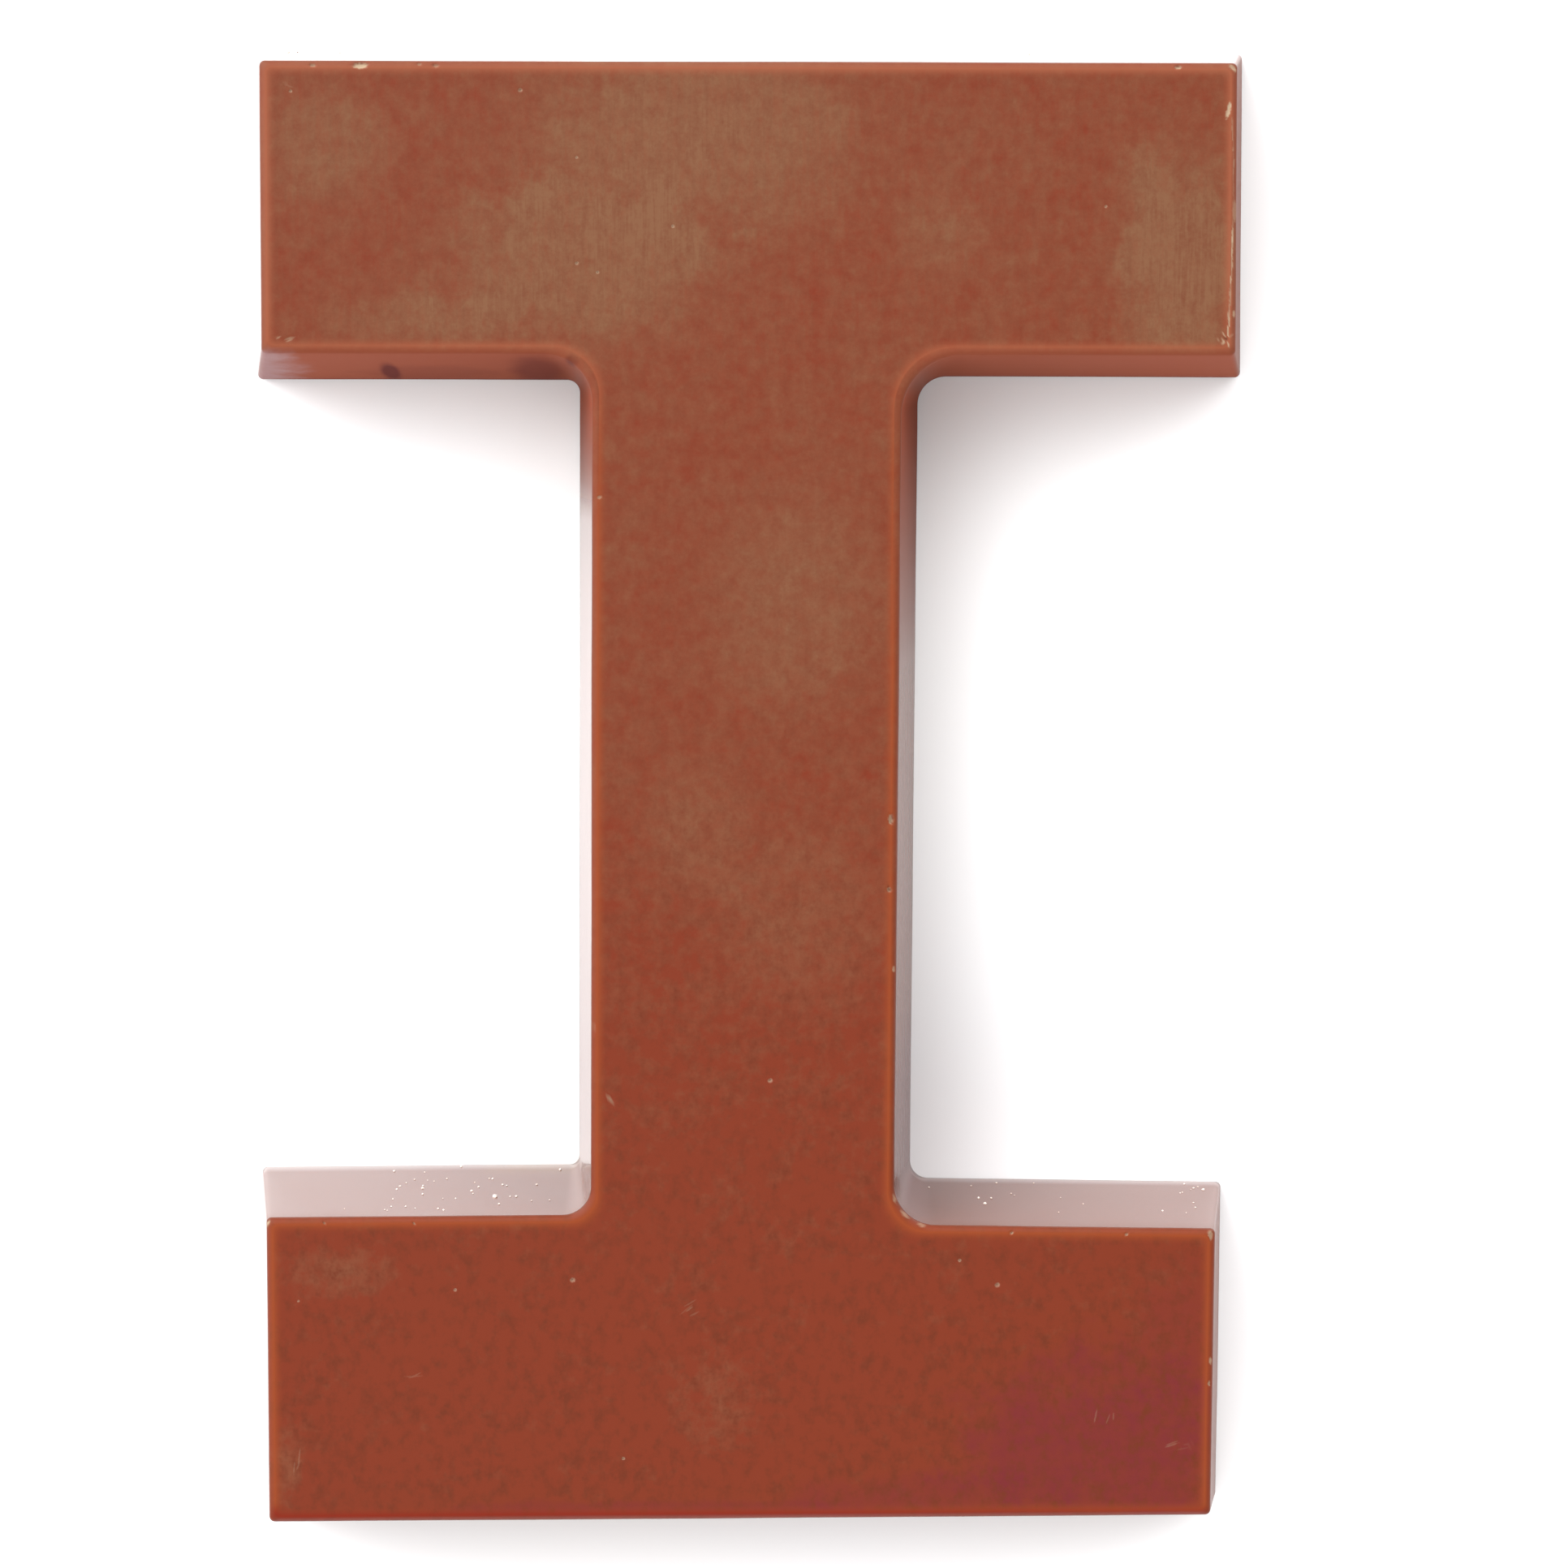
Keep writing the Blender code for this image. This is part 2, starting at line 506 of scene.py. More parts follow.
    def chips(self) -> Iterator[Mark]:
        """The flakes missing from the face's edge, each facing half up and half outwards.

        Returns:
            Their marks, one by one, and those of the two largest nicks.
        """
        drop = self.block.face_edge_radius_mm * self.chip_drop
        for x, y, half_length, outward, pale in self.chips_mm:
            out, length = direction(outward), min(half_length, self.longest_chip_mm)
            yield Mark(
                (x - out[0] * drop, y - out[1] * drop, self.block.thickness_mm - drop),
                (out[0], out[1], self.chip_rise),
                (-out[1], out[0], 0.0),
                half_length,
                self.chip_width_mm[0] + self.chip_width_mm[1] * length,
                self.chip_depth_mm[0] + self.chip_depth_mm[1] * length,
                pale,
            )
        for place, facing, along, sizes in self.nicks_mm:
            yield Mark(self.on_face(*place), facing, along, *sizes)

    def edge_scratch(self) -> Iterator[Mark]:
        """The wavering scratch down the head's right-hand edge, as short overlapping grooves.

        Returns:
            The grooves' marks, one by one.
        """
        draw = random.Random(self.seed)
        sway, skew, width = self.scratch_sway_mm, self.scratch_skew_mm, self.scratch_width_shares
        for start, stop in zip(self.edge_scratch_mm, self.edge_scratch_mm[1:]):
            pieces = max(2, round(math.dist(start, stop) / self.groove_spacing_mm))
            for piece in range(pieces):
                share = piece / pieces
                x = start[0] + (stop[0] - start[0]) * share + draw.uniform(-sway, sway)
                y = start[1] + (stop[1] - start[1]) * share
                strong = self.faint_share if y > self.faint_above_mm else 1.0
                yield Mark(
                    (x, y, self.block.thickness_mm - self.scratch_sink_mm),
                    self.scratch_facing,
                    (stop[0] - start[0] + draw.uniform(-skew, skew), stop[1] - start[1], 0),
                    draw.uniform(*self.scratch_length_mm),
                    draw.uniform(*self.scratch_width_mm) * (width[0] + width[1] * strong),
                    draw.uniform(*self.scratch_depth_mm),
                    draw.choice(self.scratch_pale) * strong,
                )

    def star(self) -> Iterator[Mark]:
        """The small dent at the scratch's lower end, with short cracks that run out of it.

        Returns:
            The marks of the dent and of its cracks.
        """
        x, y = self.star_mm
        yield Mark(self.on_face(x, y), OUT_OF_FACE, (1, 0, 0), *self.star_dent_mm, 0.0)
        for angle, pale in self.star_cracks:
            way = direction(angle)
            middle = self.on_face(x + way[0] * self.star_reach_mm, y + way[1] * self.star_reach_mm)
            yield Mark(middle, OUT_OF_FACE, (way[0], way[1], 0), *self.star_crack_mm, pale)

    def rubbed(self) -> Iterator[Mark]:
        """Faint short grooves where the face was rubbed.

        Returns:
            Their marks, one by one.
        """
        draw = random.Random(self.seed + 1)
        turn, (wide, tall) = self.rub_turn, self.rub_spread_mm
        for x, y, angle, count in self.rubbed_mm:
            for _ in range(count):
                way = direction(angle + draw.uniform(-turn, turn))
                yield Mark(
                    self.on_face(x + draw.uniform(-wide, wide), y + draw.uniform(-tall, tall)),
                    OUT_OF_FACE,
                    (way[0], way[1], 0),
                    draw.uniform(*self.rub_length_mm),
                    draw.uniform(*self.rub_width_mm),
                    draw.uniform(*self.rub_depth_mm),
                    draw.uniform(*self.rub_pale),
                )

    def marks(self) -> list[Mark]:
        """Every mark on the letter."""
        makers = (self.bubbles, self.chips, self.edge_scratch, self.star, self.rubbed)
        return [mark for maker in makers for mark in maker()]


@dataclass
class Spacing:
    """How close the mesh's points stand: wide on plain surface and fine round each mark."""

    marks: Sequence[Mark]
    wide_mm: float = 0.9
    finest_mm: float = 0.035
    growth: float = 0.30
    places: np.ndarray = field(init=False)
    fine: np.ndarray = field(init=False)
    reach: np.ndarray = field(init=False)

    def __post_init__(self) -> None:
        """Lists each mark's place, the spacing it needs and how far it reaches."""
        self.places = np.array([mark.centre_mm[:2] for mark in self.marks])
        self.fine = np.array([max(mark.half_width_mm / 2.0, self.finest_mm) for mark in self.marks])
        self.reach = np.array([mark.half_length_mm for mark in self.marks])

    def wanted(self, points: np.ndarray) -> np.ndarray:
        """The spacing that each mark asks for at each point, one row for each point."""
        away = np.linalg.norm(points[:, None, :] - self.places[None, :, :], axis=2)
        return self.fine[None, :] + self.growth * np.maximum(away - self.reach[None, :], 0.0)

    def at(self, points: np.ndarray) -> np.ndarray:
        """The spacing at each point, for rows of x and y."""
        return np.minimum(self.wanted(points).min(axis=1), self.wide_mm)

    def owners(self, points: np.ndarray) -> np.ndarray:
        """The number of the mark that asks for the closest spacing, or -1 on plain surface."""
        wanted = self.wanted(points)
        return np.where(wanted.min(axis=1) < self.wide_mm, wanted.argmin(axis=1), -1)


@dataclass
class LetterMesh:
    """The letter's surface: rings up the wall, and a cap of triangles for the face and the back."""

    block: Block
    marks: Sequence[Mark]
    waver_mm: float = 0.05
    waver_length_mm: float = 14.0
    ripple_mm: float = 0.03
    ripple_length_mm: float = 9.0
    back_spacing_mm: float = 1.1
    swell_detail: tuple[float, float] = (0.35, 2.6)
    flat_waver_on_back: float = 2.0
    row_height: float = math.sqrt(0.75)
    round_row_rise: float = 0.9
    round_row_turn: float = 0.5
    fewest_in_round_row: int = 6
    cap_tolerance_mm: float = 1e-6
    points_at_once: int = 2000
    rim_clearance: float = 0.45
    mark_clearance: float = 0.55
    fringe_power: float = 0.6
    wall_fade: float = 2.2
    edge_reach_mm: float = 0.7
    right_shelter_mm: tuple[float, float] = (9.0, 27.0)
    left_shelter_mm: tuple[float, float] = (19.0, 28.0)
    head_end_shelter: float = 0.4
    foot_end_shelter: float = 0.15
    beside_shares: tuple[float, float] = (0.9, 0.3)
    # How far the edges' painted glow is dimmed in shade, under the head and beside the stem.
    edge_dimming: tuple[float, float] = (0.25, 0.7)
    whole_wall: float = 0.9
    left_polish: float = 0.5
    up_polish: tuple[float, float] = (1.0, 0.75)
    up_polish_mm: tuple[float, float] = (-10.0, 10.0)
    mark_reach: float = 1.6
    mark_height_mm: float = 1.2
    ragged_per_mm: float = 9.0
    ragged_rim: float = 0.45
    ragged_floor: float = 0.3
    scuff_rise: float = 2.2
    stem_reach_mm: float = 20.0
    foot_end_mm: float = -45.0
    points: list[Triple] = field(default_factory=list)
    faces: list[tuple[int, ...]] = field(default_factory=list)
    zones: dict[Zone, list[float]] = field(default_factory=lambda: {zone: [] for zone in Zone})

    def add(self, place: Sequence[float], shares: dict[Zone, float]) -> int:
        """Adds a point.

        Args:
            place: its x, y and height.
            shares: its share of each zone, which is 0 where none is given.

        Returns:
            The point's number.
        """
        self.points.append((float(place[0]), float(place[1]), float(place[2])))
        for zone, values in self.zones.items():
            values.append(shares.get(zone, 0.0))
        return len(self.points) - 1

    def run_shares(self, start: np.ndarray, stop: np.ndarray, spacing: Spacing) -> list[float]:
        """Where the points of a straight run stand.

        Args:
            start: the run's first point.
            stop: its last point.
            spacing: how close points stand.

        Returns:
            Shares of the run from 0 to 1, without its ends.
        """
        length = float(np.linalg.norm(stop - start))
        walked, shares = 0.0, []
        while walked < length:
            here = start + (stop - start) * (walked / length)
            walked += float(spacing.at(here[None, :])[0])
            shares.append(walked)
        return [share / shares[-1] for share in shares[:-1]]

    def rings(self, levels: Sequence[Level], spacing: Spacing) -> list[np.ndarray]:
        """The closed ring of points at every level, with the same columns in each.

        Args:
            levels: the levels from the back up to the face and inwards over it.
            spacing: how close points stand.

        Returns:
            Rows of x and y for each level.
        """
        block = self.block
        middle = block.middle()
        rim = [arc - middle for arc in block.arcs(block.section()[-1])]
        count = len(rim)
        runs = [self.run_shares(rim[k][-1], rim[(k + 1) % count][0], spacing) for k in range(count)]
        rings = []
        for level in levels:
            arcs = [arc - middle for arc in block.arcs(level)]
            ring: list[np.ndarray] = []
            for k, arc in enumerate(arcs):
                ring.extend(arc)
                stop = arcs[(k + 1) % count][0]
                ring.extend(arc[-1] + (stop - arc[-1]) * share for share in runs[k])
            rings.append(np.array(ring))
        return rings

    def zone_shares(self, number: int) -> dict[Zone, float]:
        """How far a ring belongs to the wall, the edge and the fringe that shelter can reach.

        Args:
            number: the ring's number, from 0 at the back.

        Returns:
            The ring's shares of the zones.
        """
        block = self.block
        rounding_start = block.back_edge_steps + block.wall_steps
        turned = max((number - rounding_start) / block.face_edge_steps, 0.0)
        if turned <= 1.0:
            wall = max(1.0 - self.wall_fade * turned, 0.0)
            return {Zone.WALL: wall, Zone.EDGE: turned, Zone.SHELTERED: (1.0 - turned) ** self.fringe_power}
        # Across the face, the edge zone, which carries the edges' painted glow, fades out over the first
        # insets.
        inset = block.face_insets_mm[number - rounding_start - block.face_edge_steps - 1]
        return {Zone.EDGE: max(1.0 - inset / self.edge_reach_mm, 0.0)}

    def build_rings(self, levels: Sequence[Level], rings: list[np.ndarray]) -> list[list[int]]:
        """Adds the rings and the quads between them.

        Args:
            levels: the level of each ring.
            rings: the rings' points in plan.

        Returns:
            The point numbers of each ring.
        """
        loops = []
        for number, (level, ring) in enumerate(zip(levels, rings)):
            shares = self.zone_shares(number)
            loops.append([self.add((*place, level.height_mm), shares) for place in ring])
        for lower, upper in zip(loops, loops[1:]):
            for here in range(len(lower)):
                after = (here + 1) % len(lower)
                self.faces.append((lower[here], lower[after], upper[after], upper[here]))
        return loops

    def build_cap(self, ring: np.ndarray, loop: list[int], inside: np.ndarray, back: bool) -> None:
        """Fills a ring with triangles over its inner points.

        Args:
            ring: the ring's points in plan.
            loop: their point numbers.
            inside: the points inside the ring.
            back: whether this is the back, which is seen from below.
        """
        count = len(ring)
        flat = [Vector(place) for place in np.concatenate([ring, inside])]
        outline = [(here, (here + 1) % count) for here in range(count)]
        found = geometry.delaunay_2d_cdt(flat, outline, [], 1, self.cap_tolerance_mm)
        places, triangles, sources = found[0], found[2], found[3]
        height = 0.0 if back else self.block.thickness_mm
        numbers = []
        for place, source in zip(places, sources):
            if source and source[0] < count:
                numbers.append(loop[source[0]])
            else:
                numbers.append(self.add((*place, height), {Zone.BACK: float(back)}))
        for triangle in triangles:
            corners = tuple(numbers[index] for index in triangle)
            self.faces.append(corners[::-1] if back else corners)

    def inner_points(self, ring: np.ndarray, spacing: Spacing | None) -> np.ndarray:
        """Points that fill a ring: a wide net of staggered rows, with finer nets round the marks.

        Args:
            ring: the ring's points in plan.
            spacing: how close points stand, or None for the plain back.

        Returns:
            Rows of x and y, all inside the ring and clear of it.
        """
        wide = spacing.wide_mm if spacing else self.back_spacing_mm
        nets = [self.staggered(ring.min(0), ring.max(0), wide)]
        if spacing:
            nets[0] = nets[0][spacing.owners(nets[0]) == -1]
            for number in range(len(spacing.places)):
                net = self.graded_net(number, spacing)
                nets.append(net[spacing.owners(net) == number])
        return self.within(np.concatenate(nets), ring, self.rim_clearance * wide, spacing)

    def staggered(self, low: np.ndarray, high: np.ndarray, step: float) -> np.ndarray:
        """Rows of points a step apart, with the rows' starts staggered.

        Args:
            low: the lowest x and y.
            high: the highest x and y.
            step: how far apart the points of a row stand.

        Returns:
            Rows of x and y.
        """
        rise = step * self.row_height
        rows = []
        for number, y in enumerate(np.arange(low[1] + step / 2, high[1], rise)):
            xs = np.arange(low[0] + (step / 2 if number % 2 else step / 4), high[0], step)
            rows.append(np.column_stack([xs, np.full(len(xs), y)]))
        return np.concatenate(rows)

    def graded_net(self, number: int, spacing: Spacing) -> np.ndarray:
        """Round rows about a mark, each a little wider apart than the one inside it.

        Args:
            number: the mark's number.
            spacing: how close points stand.

        Returns:
            Rows of x and y.
        """
        fine, reach = float(spacing.fine[number]), float(spacing.reach[number])
        radius, step, turn = 0.0, fine, 0.0
        rows = [np.zeros((1, 2))]
        while step < spacing.wide_mm:
            radius += step * self.round_row_rise
            step = fine + spacing.growth * max(radius - reach, 0.0)
            count = max(self.fewest_in_round_row, round(2 * math.pi * radius / step))
            turn += self.round_row_turn
            angles = (np.arange(count) + turn) * 2 * math.pi / count
            rows.append(radius * np.column_stack([np.cos(angles), np.sin(angles)]))
        return spacing.places[number] + np.concatenate(rows)

    def within(
        self, points: np.ndarray, ring: np.ndarray, clear: float, spacing: Spacing | None
    ) -> np.ndarray:
        """The points inside a ring and clear of it.

        Args:
            points: rows of x and y.
            ring: the ring's points in plan.
            clear: the least distance to the ring on plain surface.
            spacing: how close points stand, which lowers that distance round a mark.

        Returns:
            The rows that stay.
        """
        start, stop = ring, np.roll(ring, -1, axis=0)
        kept = []
        for chunk in np.array_split(points, max(1, len(points) // self.points_at_once)):
            x, y = chunk[:, 0][:, None], chunk[:, 1][:, None]
            crosses = (start[:, 1] > y) != (stop[:, 1] > y)
            rise = np.where(stop[:, 1] == start[:, 1], 1.0, stop[:, 1] - start[:, 1])
            reach = start[:, 0] + (y - start[:, 1]) * (stop[:, 0] - start[:, 0]) / rise
            inside = (crosses & (x < reach)).sum(1) % 2 == 1
            away = np.sqrt((x - start[:, 0]) ** 2 + (y - start[:, 1]) ** 2).min(1)
            least = np.minimum(clear, self.mark_clearance * spacing.at(chunk)) if spacing else clear
            kept.append(chunk[inside & (away > least)])
        return np.concatenate(kept)

    def build(self) -> None:
        """Makes every point and face: the rings up the wall, then the caps of the face and the back."""
        spacing = Spacing(self.marks)
        levels = self.block.section() + self.block.face_levels()
        rings = self.rings(levels, spacing)
        loops = self.build_rings(levels, rings)
        self.build_cap(rings[-1], loops[-1], self.inner_points(rings[-1], spacing), back=False)
        self.build_cap(rings[0], loops[0], self.inner_points(rings[0], None), back=True)
        for number in loops[0]:
            self.zones[Zone.BACK][number] = 1.0

    def outward(self, places: np.ndarray) -> np.ndarray:
        """Each point's outward direction, weighted by the faces that meet there.

        Args:
            places: every point.

        Returns:
            One unit vector for each point.
        """
        normals = np.zeros_like(places)
        for size in (3, 4):
            chosen = np.array([face for face in self.faces if len(face) == size])
            if not len(chosen):
                continue
            across = places[chosen[:, -1]] - places[chosen[:, 0]]
            along = places[chosen[:, 1]] - places[chosen[:, 0]]
            facing = np.cross(along, across)
            for corner in range(size):
                np.add.at(normals, chosen[:, corner], facing)
        return normals / np.maximum(np.linalg.norm(normals, axis=1, keepdims=True), 1e-12)

    def with_waver(self, places: np.ndarray) -> np.ndarray:
        """The points with the walls and the flat sides let waver inwards a little.

        Args:
            places: every point.

        Returns:
            The moved points, none of them further out than before.
        """
        out = self.outward(places)
        wall = np.array(self.zones[Zone.WALL])
        back = np.array(self.zones[Zone.BACK])
        moved = places.copy()
        for index, place in enumerate(places):
            side = self.swell(place, self.waver_length_mm) * self.waver_mm * wall[index]
            flat = self.swell(place, self.ripple_length_mm) * self.ripple_mm * (1.0 - wall[index])
            moved[index] -= out[index] * (side + flat * (1.0 + self.flat_waver_on_back * back[index]))
        return moved

    def paint_walls(self, places: np.ndarray) -> None:
        """Gives the walls their shares of the sheltered and the glossy zone, and dims the painted edge glow
        in shade.

        The walls under the head, and the stem's down from there, are sheltered and dull. So are the ends
        on the right in part. On the sheltered share the shader paints light and shade: a lighter, redder
        colour standing in for light that reaches these shaded walls, and shade low down by the table.
        The walls that face up the page or to the left are the glossiest.

        Args:
            places: every point.
        """
        out = self.outward(places)
        plan = out[:, :2] / np.maximum(np.linalg.norm(out[:, :2], axis=1, keepdims=True), 1e-9)
        x, y = places[:, 0], places[:, 1]
        under = np.clip(-plan[:, 1], 0.0, 1.0) * (y > self.foot_end_mm)
        end = np.where(y > 0.0, self.head_end_shelter, self.foot_end_shelter) * (x > self.stem_reach_mm)
        end = end * np.clip(plan[:, 0], 0.0, 1.0)
        beside = np.zeros(len(places))
        for (low, high), side in ((self.right_shelter_mm, plan[:, 0]), (self.left_shelter_mm, -plan[:, 0])):
            rise = np.clip((y - low) / (high - low), 0.0, 1.0) * (np.abs(x) < self.stem_reach_mm)
            beside = np.maximum(beside, rise * np.clip(side, 0.0, 1.0))
        fringe, edge = np.array(self.zones[Zone.SHELTERED]), np.array(self.zones[Zone.EDGE])
        wall = np.array(self.zones[Zone.WALL])
        on_wall = wall > self.whole_wall
        sheltered = np.maximum(
            np.where(on_wall, under, under**2), beside * np.where(on_wall, *self.beside_shares)
        )
        # The sheltered share: where the shader paints light and shade on the walls.
        self.zones[Zone.SHELTERED] = (fringe * np.maximum(sheltered, end)).tolist()
        # Painted shade: the edges' painted glow is dimmed under the head and beside the stem.
        dimmed = np.maximum(self.edge_dimming[0] * under * (y > 0.0), self.edge_dimming[1] * beside)
        self.zones[Zone.EDGE] = (edge * (1.0 - dimmed)).tolist()
        left = np.clip(-plan[:, 0], 0.0, 1.0) * self.left_polish
        up = np.clip(plan[:, 1], 0.0, 1.0) * np.interp(x, self.up_polish_mm, self.up_polish)
        self.zones[Zone.GLOSSY] = (wall * np.maximum(left, up) * (1.0 - beside) ** 2).tolist()

    def swell(self, place: np.ndarray, length: float) -> float:
        """A smooth unevenness.

        Args:
            place: the point.
            length: about how long its bumps are.

        Returns:
            A value from 0 to 1.
        """
        share, ratio = self.swell_detail
        value = noise.noise(Vector(place) / length) + share * noise.noise(Vector(place) * ratio / length)
        return min(max(0.5 + 0.5 * value, 0.0), 1.0)

    def with_marks(self, places: np.ndarray) -> np.ndarray:
        """The points with every mark pressed in, and the scuffed zone painted with it.

        Args:
            places: every point.

        Returns:
            The moved points.
        """
        moved = places.copy()
        scuff = np.zeros(len(places))
        for mark in self.marks:
            along, across, out = mark.axes()
            offset = places - np.array(mark.centre_mm)
            u, v, w = offset @ along, offset @ across, offset @ out
            spread = (u / mark.half_length_mm) ** 2 + (v / mark.half_width_mm) ** 2
            near = np.nonzero((spread < self.mark_reach) & (np.abs(w) < self.mark_height_mm))[0]
            for index in near:
                rough = noise.noise(Vector(places[index]) * self.ragged_per_mm)
                ragged = spread[index] * (1.0 + self.ragged_rim * rough)
                if ragged >= 1.0:
                    continue
                floor = -mark.depth_mm * (1.0 - ragged) * (1.0 + self.ragged_floor * rough)
                push = max(w[index] - floor, 0.0)
                moved[index] -= out * push
                paleness = mark.pale * min(1.0, self.scuff_rise * (1.0 - ragged))
                scuff[index] = max(scuff[index], paleness)
        self.zones[Zone.SCUFF] = scuff.tolist()
        return moved

    def to_object(self, name: str) -> bpy.types.Object:
        """Makes the Blender object, in metres, with a point attribute for each zone.

        Args:
            name: the object's name.

        Returns:
            The new object.
        """
        places = np.array(self.points)
        self.paint_walls(places)
        places = self.with_marks(self.with_waver(places))
        letter = new_object(name, (places * MM).tolist(), self.faces)
        for zone, values in self.zones.items():
            attribute = letter.data.attributes.new(zone.value, "FLOAT", "POINT")
            attribute.data.foreach_set("value", np.array(values, np.float32))
        letter.data.shade_smooth()
        return letter


class Term:
    """A number in a node tree, on which Python's operators add Math nodes."""

    def __init__(self, shader: Nodes, socket: bpy.types.NodeSocket) -> None:
        """Wraps a socket of a node tree."""
        self.shader = shader
        self.socket = socket

    def math(self, operation: str, *others: Any, clamp: bool = False) -> Term:
        """Adds a Math node.

        Args:
            operation: the node's operation.
            others: its second and third values.
            clamp: whether the result is kept between 0 and 1.

        Returns:
            The node's result.
        """
        values = dict(enumerate((self, *others)))
        settings = {"operation": operation, "use_clamp": clamp}
        return self.shader.term(self.shader.node("ShaderNodeMath", settings, values))

    def __add__(self, other: Any) -> Term:
        """This plus the other."""
        return self.math("ADD", other)

    def __radd__(self, other: Any) -> Term:
        """The other plus this."""
        return self.math("ADD", other)

    def __sub__(self, other: Any) -> Term:
        """This minus the other."""
        return self.math("SUBTRACT", other)

    def __rsub__(self, other: Any) -> Term:
        """The other minus this."""
        return (self * -1.0).math("ADD", other)

    def __mul__(self, other: Any) -> Term:
        """This times the other."""
        return self.math("MULTIPLY", other)

    def __rmul__(self, other: Any) -> Term:
        """The other times this."""
        return self.math("MULTIPLY", other)

    def clamped(self) -> Term:
        """This, kept between 0 and 1."""
        return self.math("ADD", 0.0, clamp=True)

    def between(self, low: float, high: float) -> Term:
        """A smooth step.

        Args:
            low: the value up to which the step is 0.
            high: the value from which on it is 1.

        Returns:
            The step.
        """
        settings = {"interpolation_type": "SMOOTHSTEP"}
        values = {"Value": self, "From Min": low, "From Max": high}
        return self.shader.term(self.shader.node("ShaderNodeMapRange", settings, values))


@dataclass(frozen=True)
class Patch:
    """A patch of slightly different colour, seen in plan: its middle, half sizes and strength.

    Its edge is soft between two shares of its half sizes, and less ragged where it is small.
    """

    x_mm: float
    y_mm: float
    half_width_mm: float
    half_height_mm: float
    strength: float
    soft_edge: tuple[float, float] = (0.45, 1.35)
    most_ragged: float = 2.1
    ragged_growth: float = 0.06
    wide_mm: float = 4.0

    def raggedness(self) -> float:
        """How far noise moves the patch's edge, as a share of its half sizes."""
        narrow = min(self.half_width_mm, self.wide_mm)
        return self.most_ragged * min(1.0, self.ragged_growth * self.half_width_mm * narrow)


@dataclass(frozen=True)
class Grain:
    """A layer of soft noise: its features' size, its detail and roughness, and how it is squeezed."""

    size_mm: float
    detail: float = 2.0
    rough: float = 0.6
    squeeze: Triple | None = None


@dataclass(frozen=True)
class Mottle:
    """How strongly each layer of noise shows in a mottled finish."""

    speckle: float = 0.0
    fleck: float = 0.0
    cloud: float = 0.0
    ragged: float = 0.0


class Nodes:
    """A node tree, written as expressions."""

    def __init__(self, tree: bpy.types.NodeTree) -> None:
        """Wraps a node tree."""
        self.tree = tree

    def node(self, kind: str, settings: dict[str, Any], values: dict[Any, Any]) -> bpy.types.Node:
        """Adds a node.

        Args:
            kind: the node's type.
            settings: its own settings, which are set first.
            values: what each input holds, a value, a socket or a term, by name or number.

        Returns:
            The node.
        """
        made = self.tree.nodes.new(kind)
        for name, setting in settings.items():
            setattr(made, name, setting)
        for key, value in values.items():
            self.put(made.inputs[key], value)
        return made

    def put(self, target: bpy.types.NodeSocket, value: Any) -> None:
        """Sets an input to a value, or links a socket or term to it.

        Args:
            target: the input.
            value: the value, socket or term.
        """
        source = value.socket if isinstance(value, Term) else value
        if isinstance(source, bpy.types.NodeSocket):
            self.tree.links.new(source, target)
        else:
            target.default_value = source

    def term(self, made: bpy.types.Node, output: str | int = 0) -> Term:
        """A node's output as a term."""
        return Term(self, made.outputs[output])


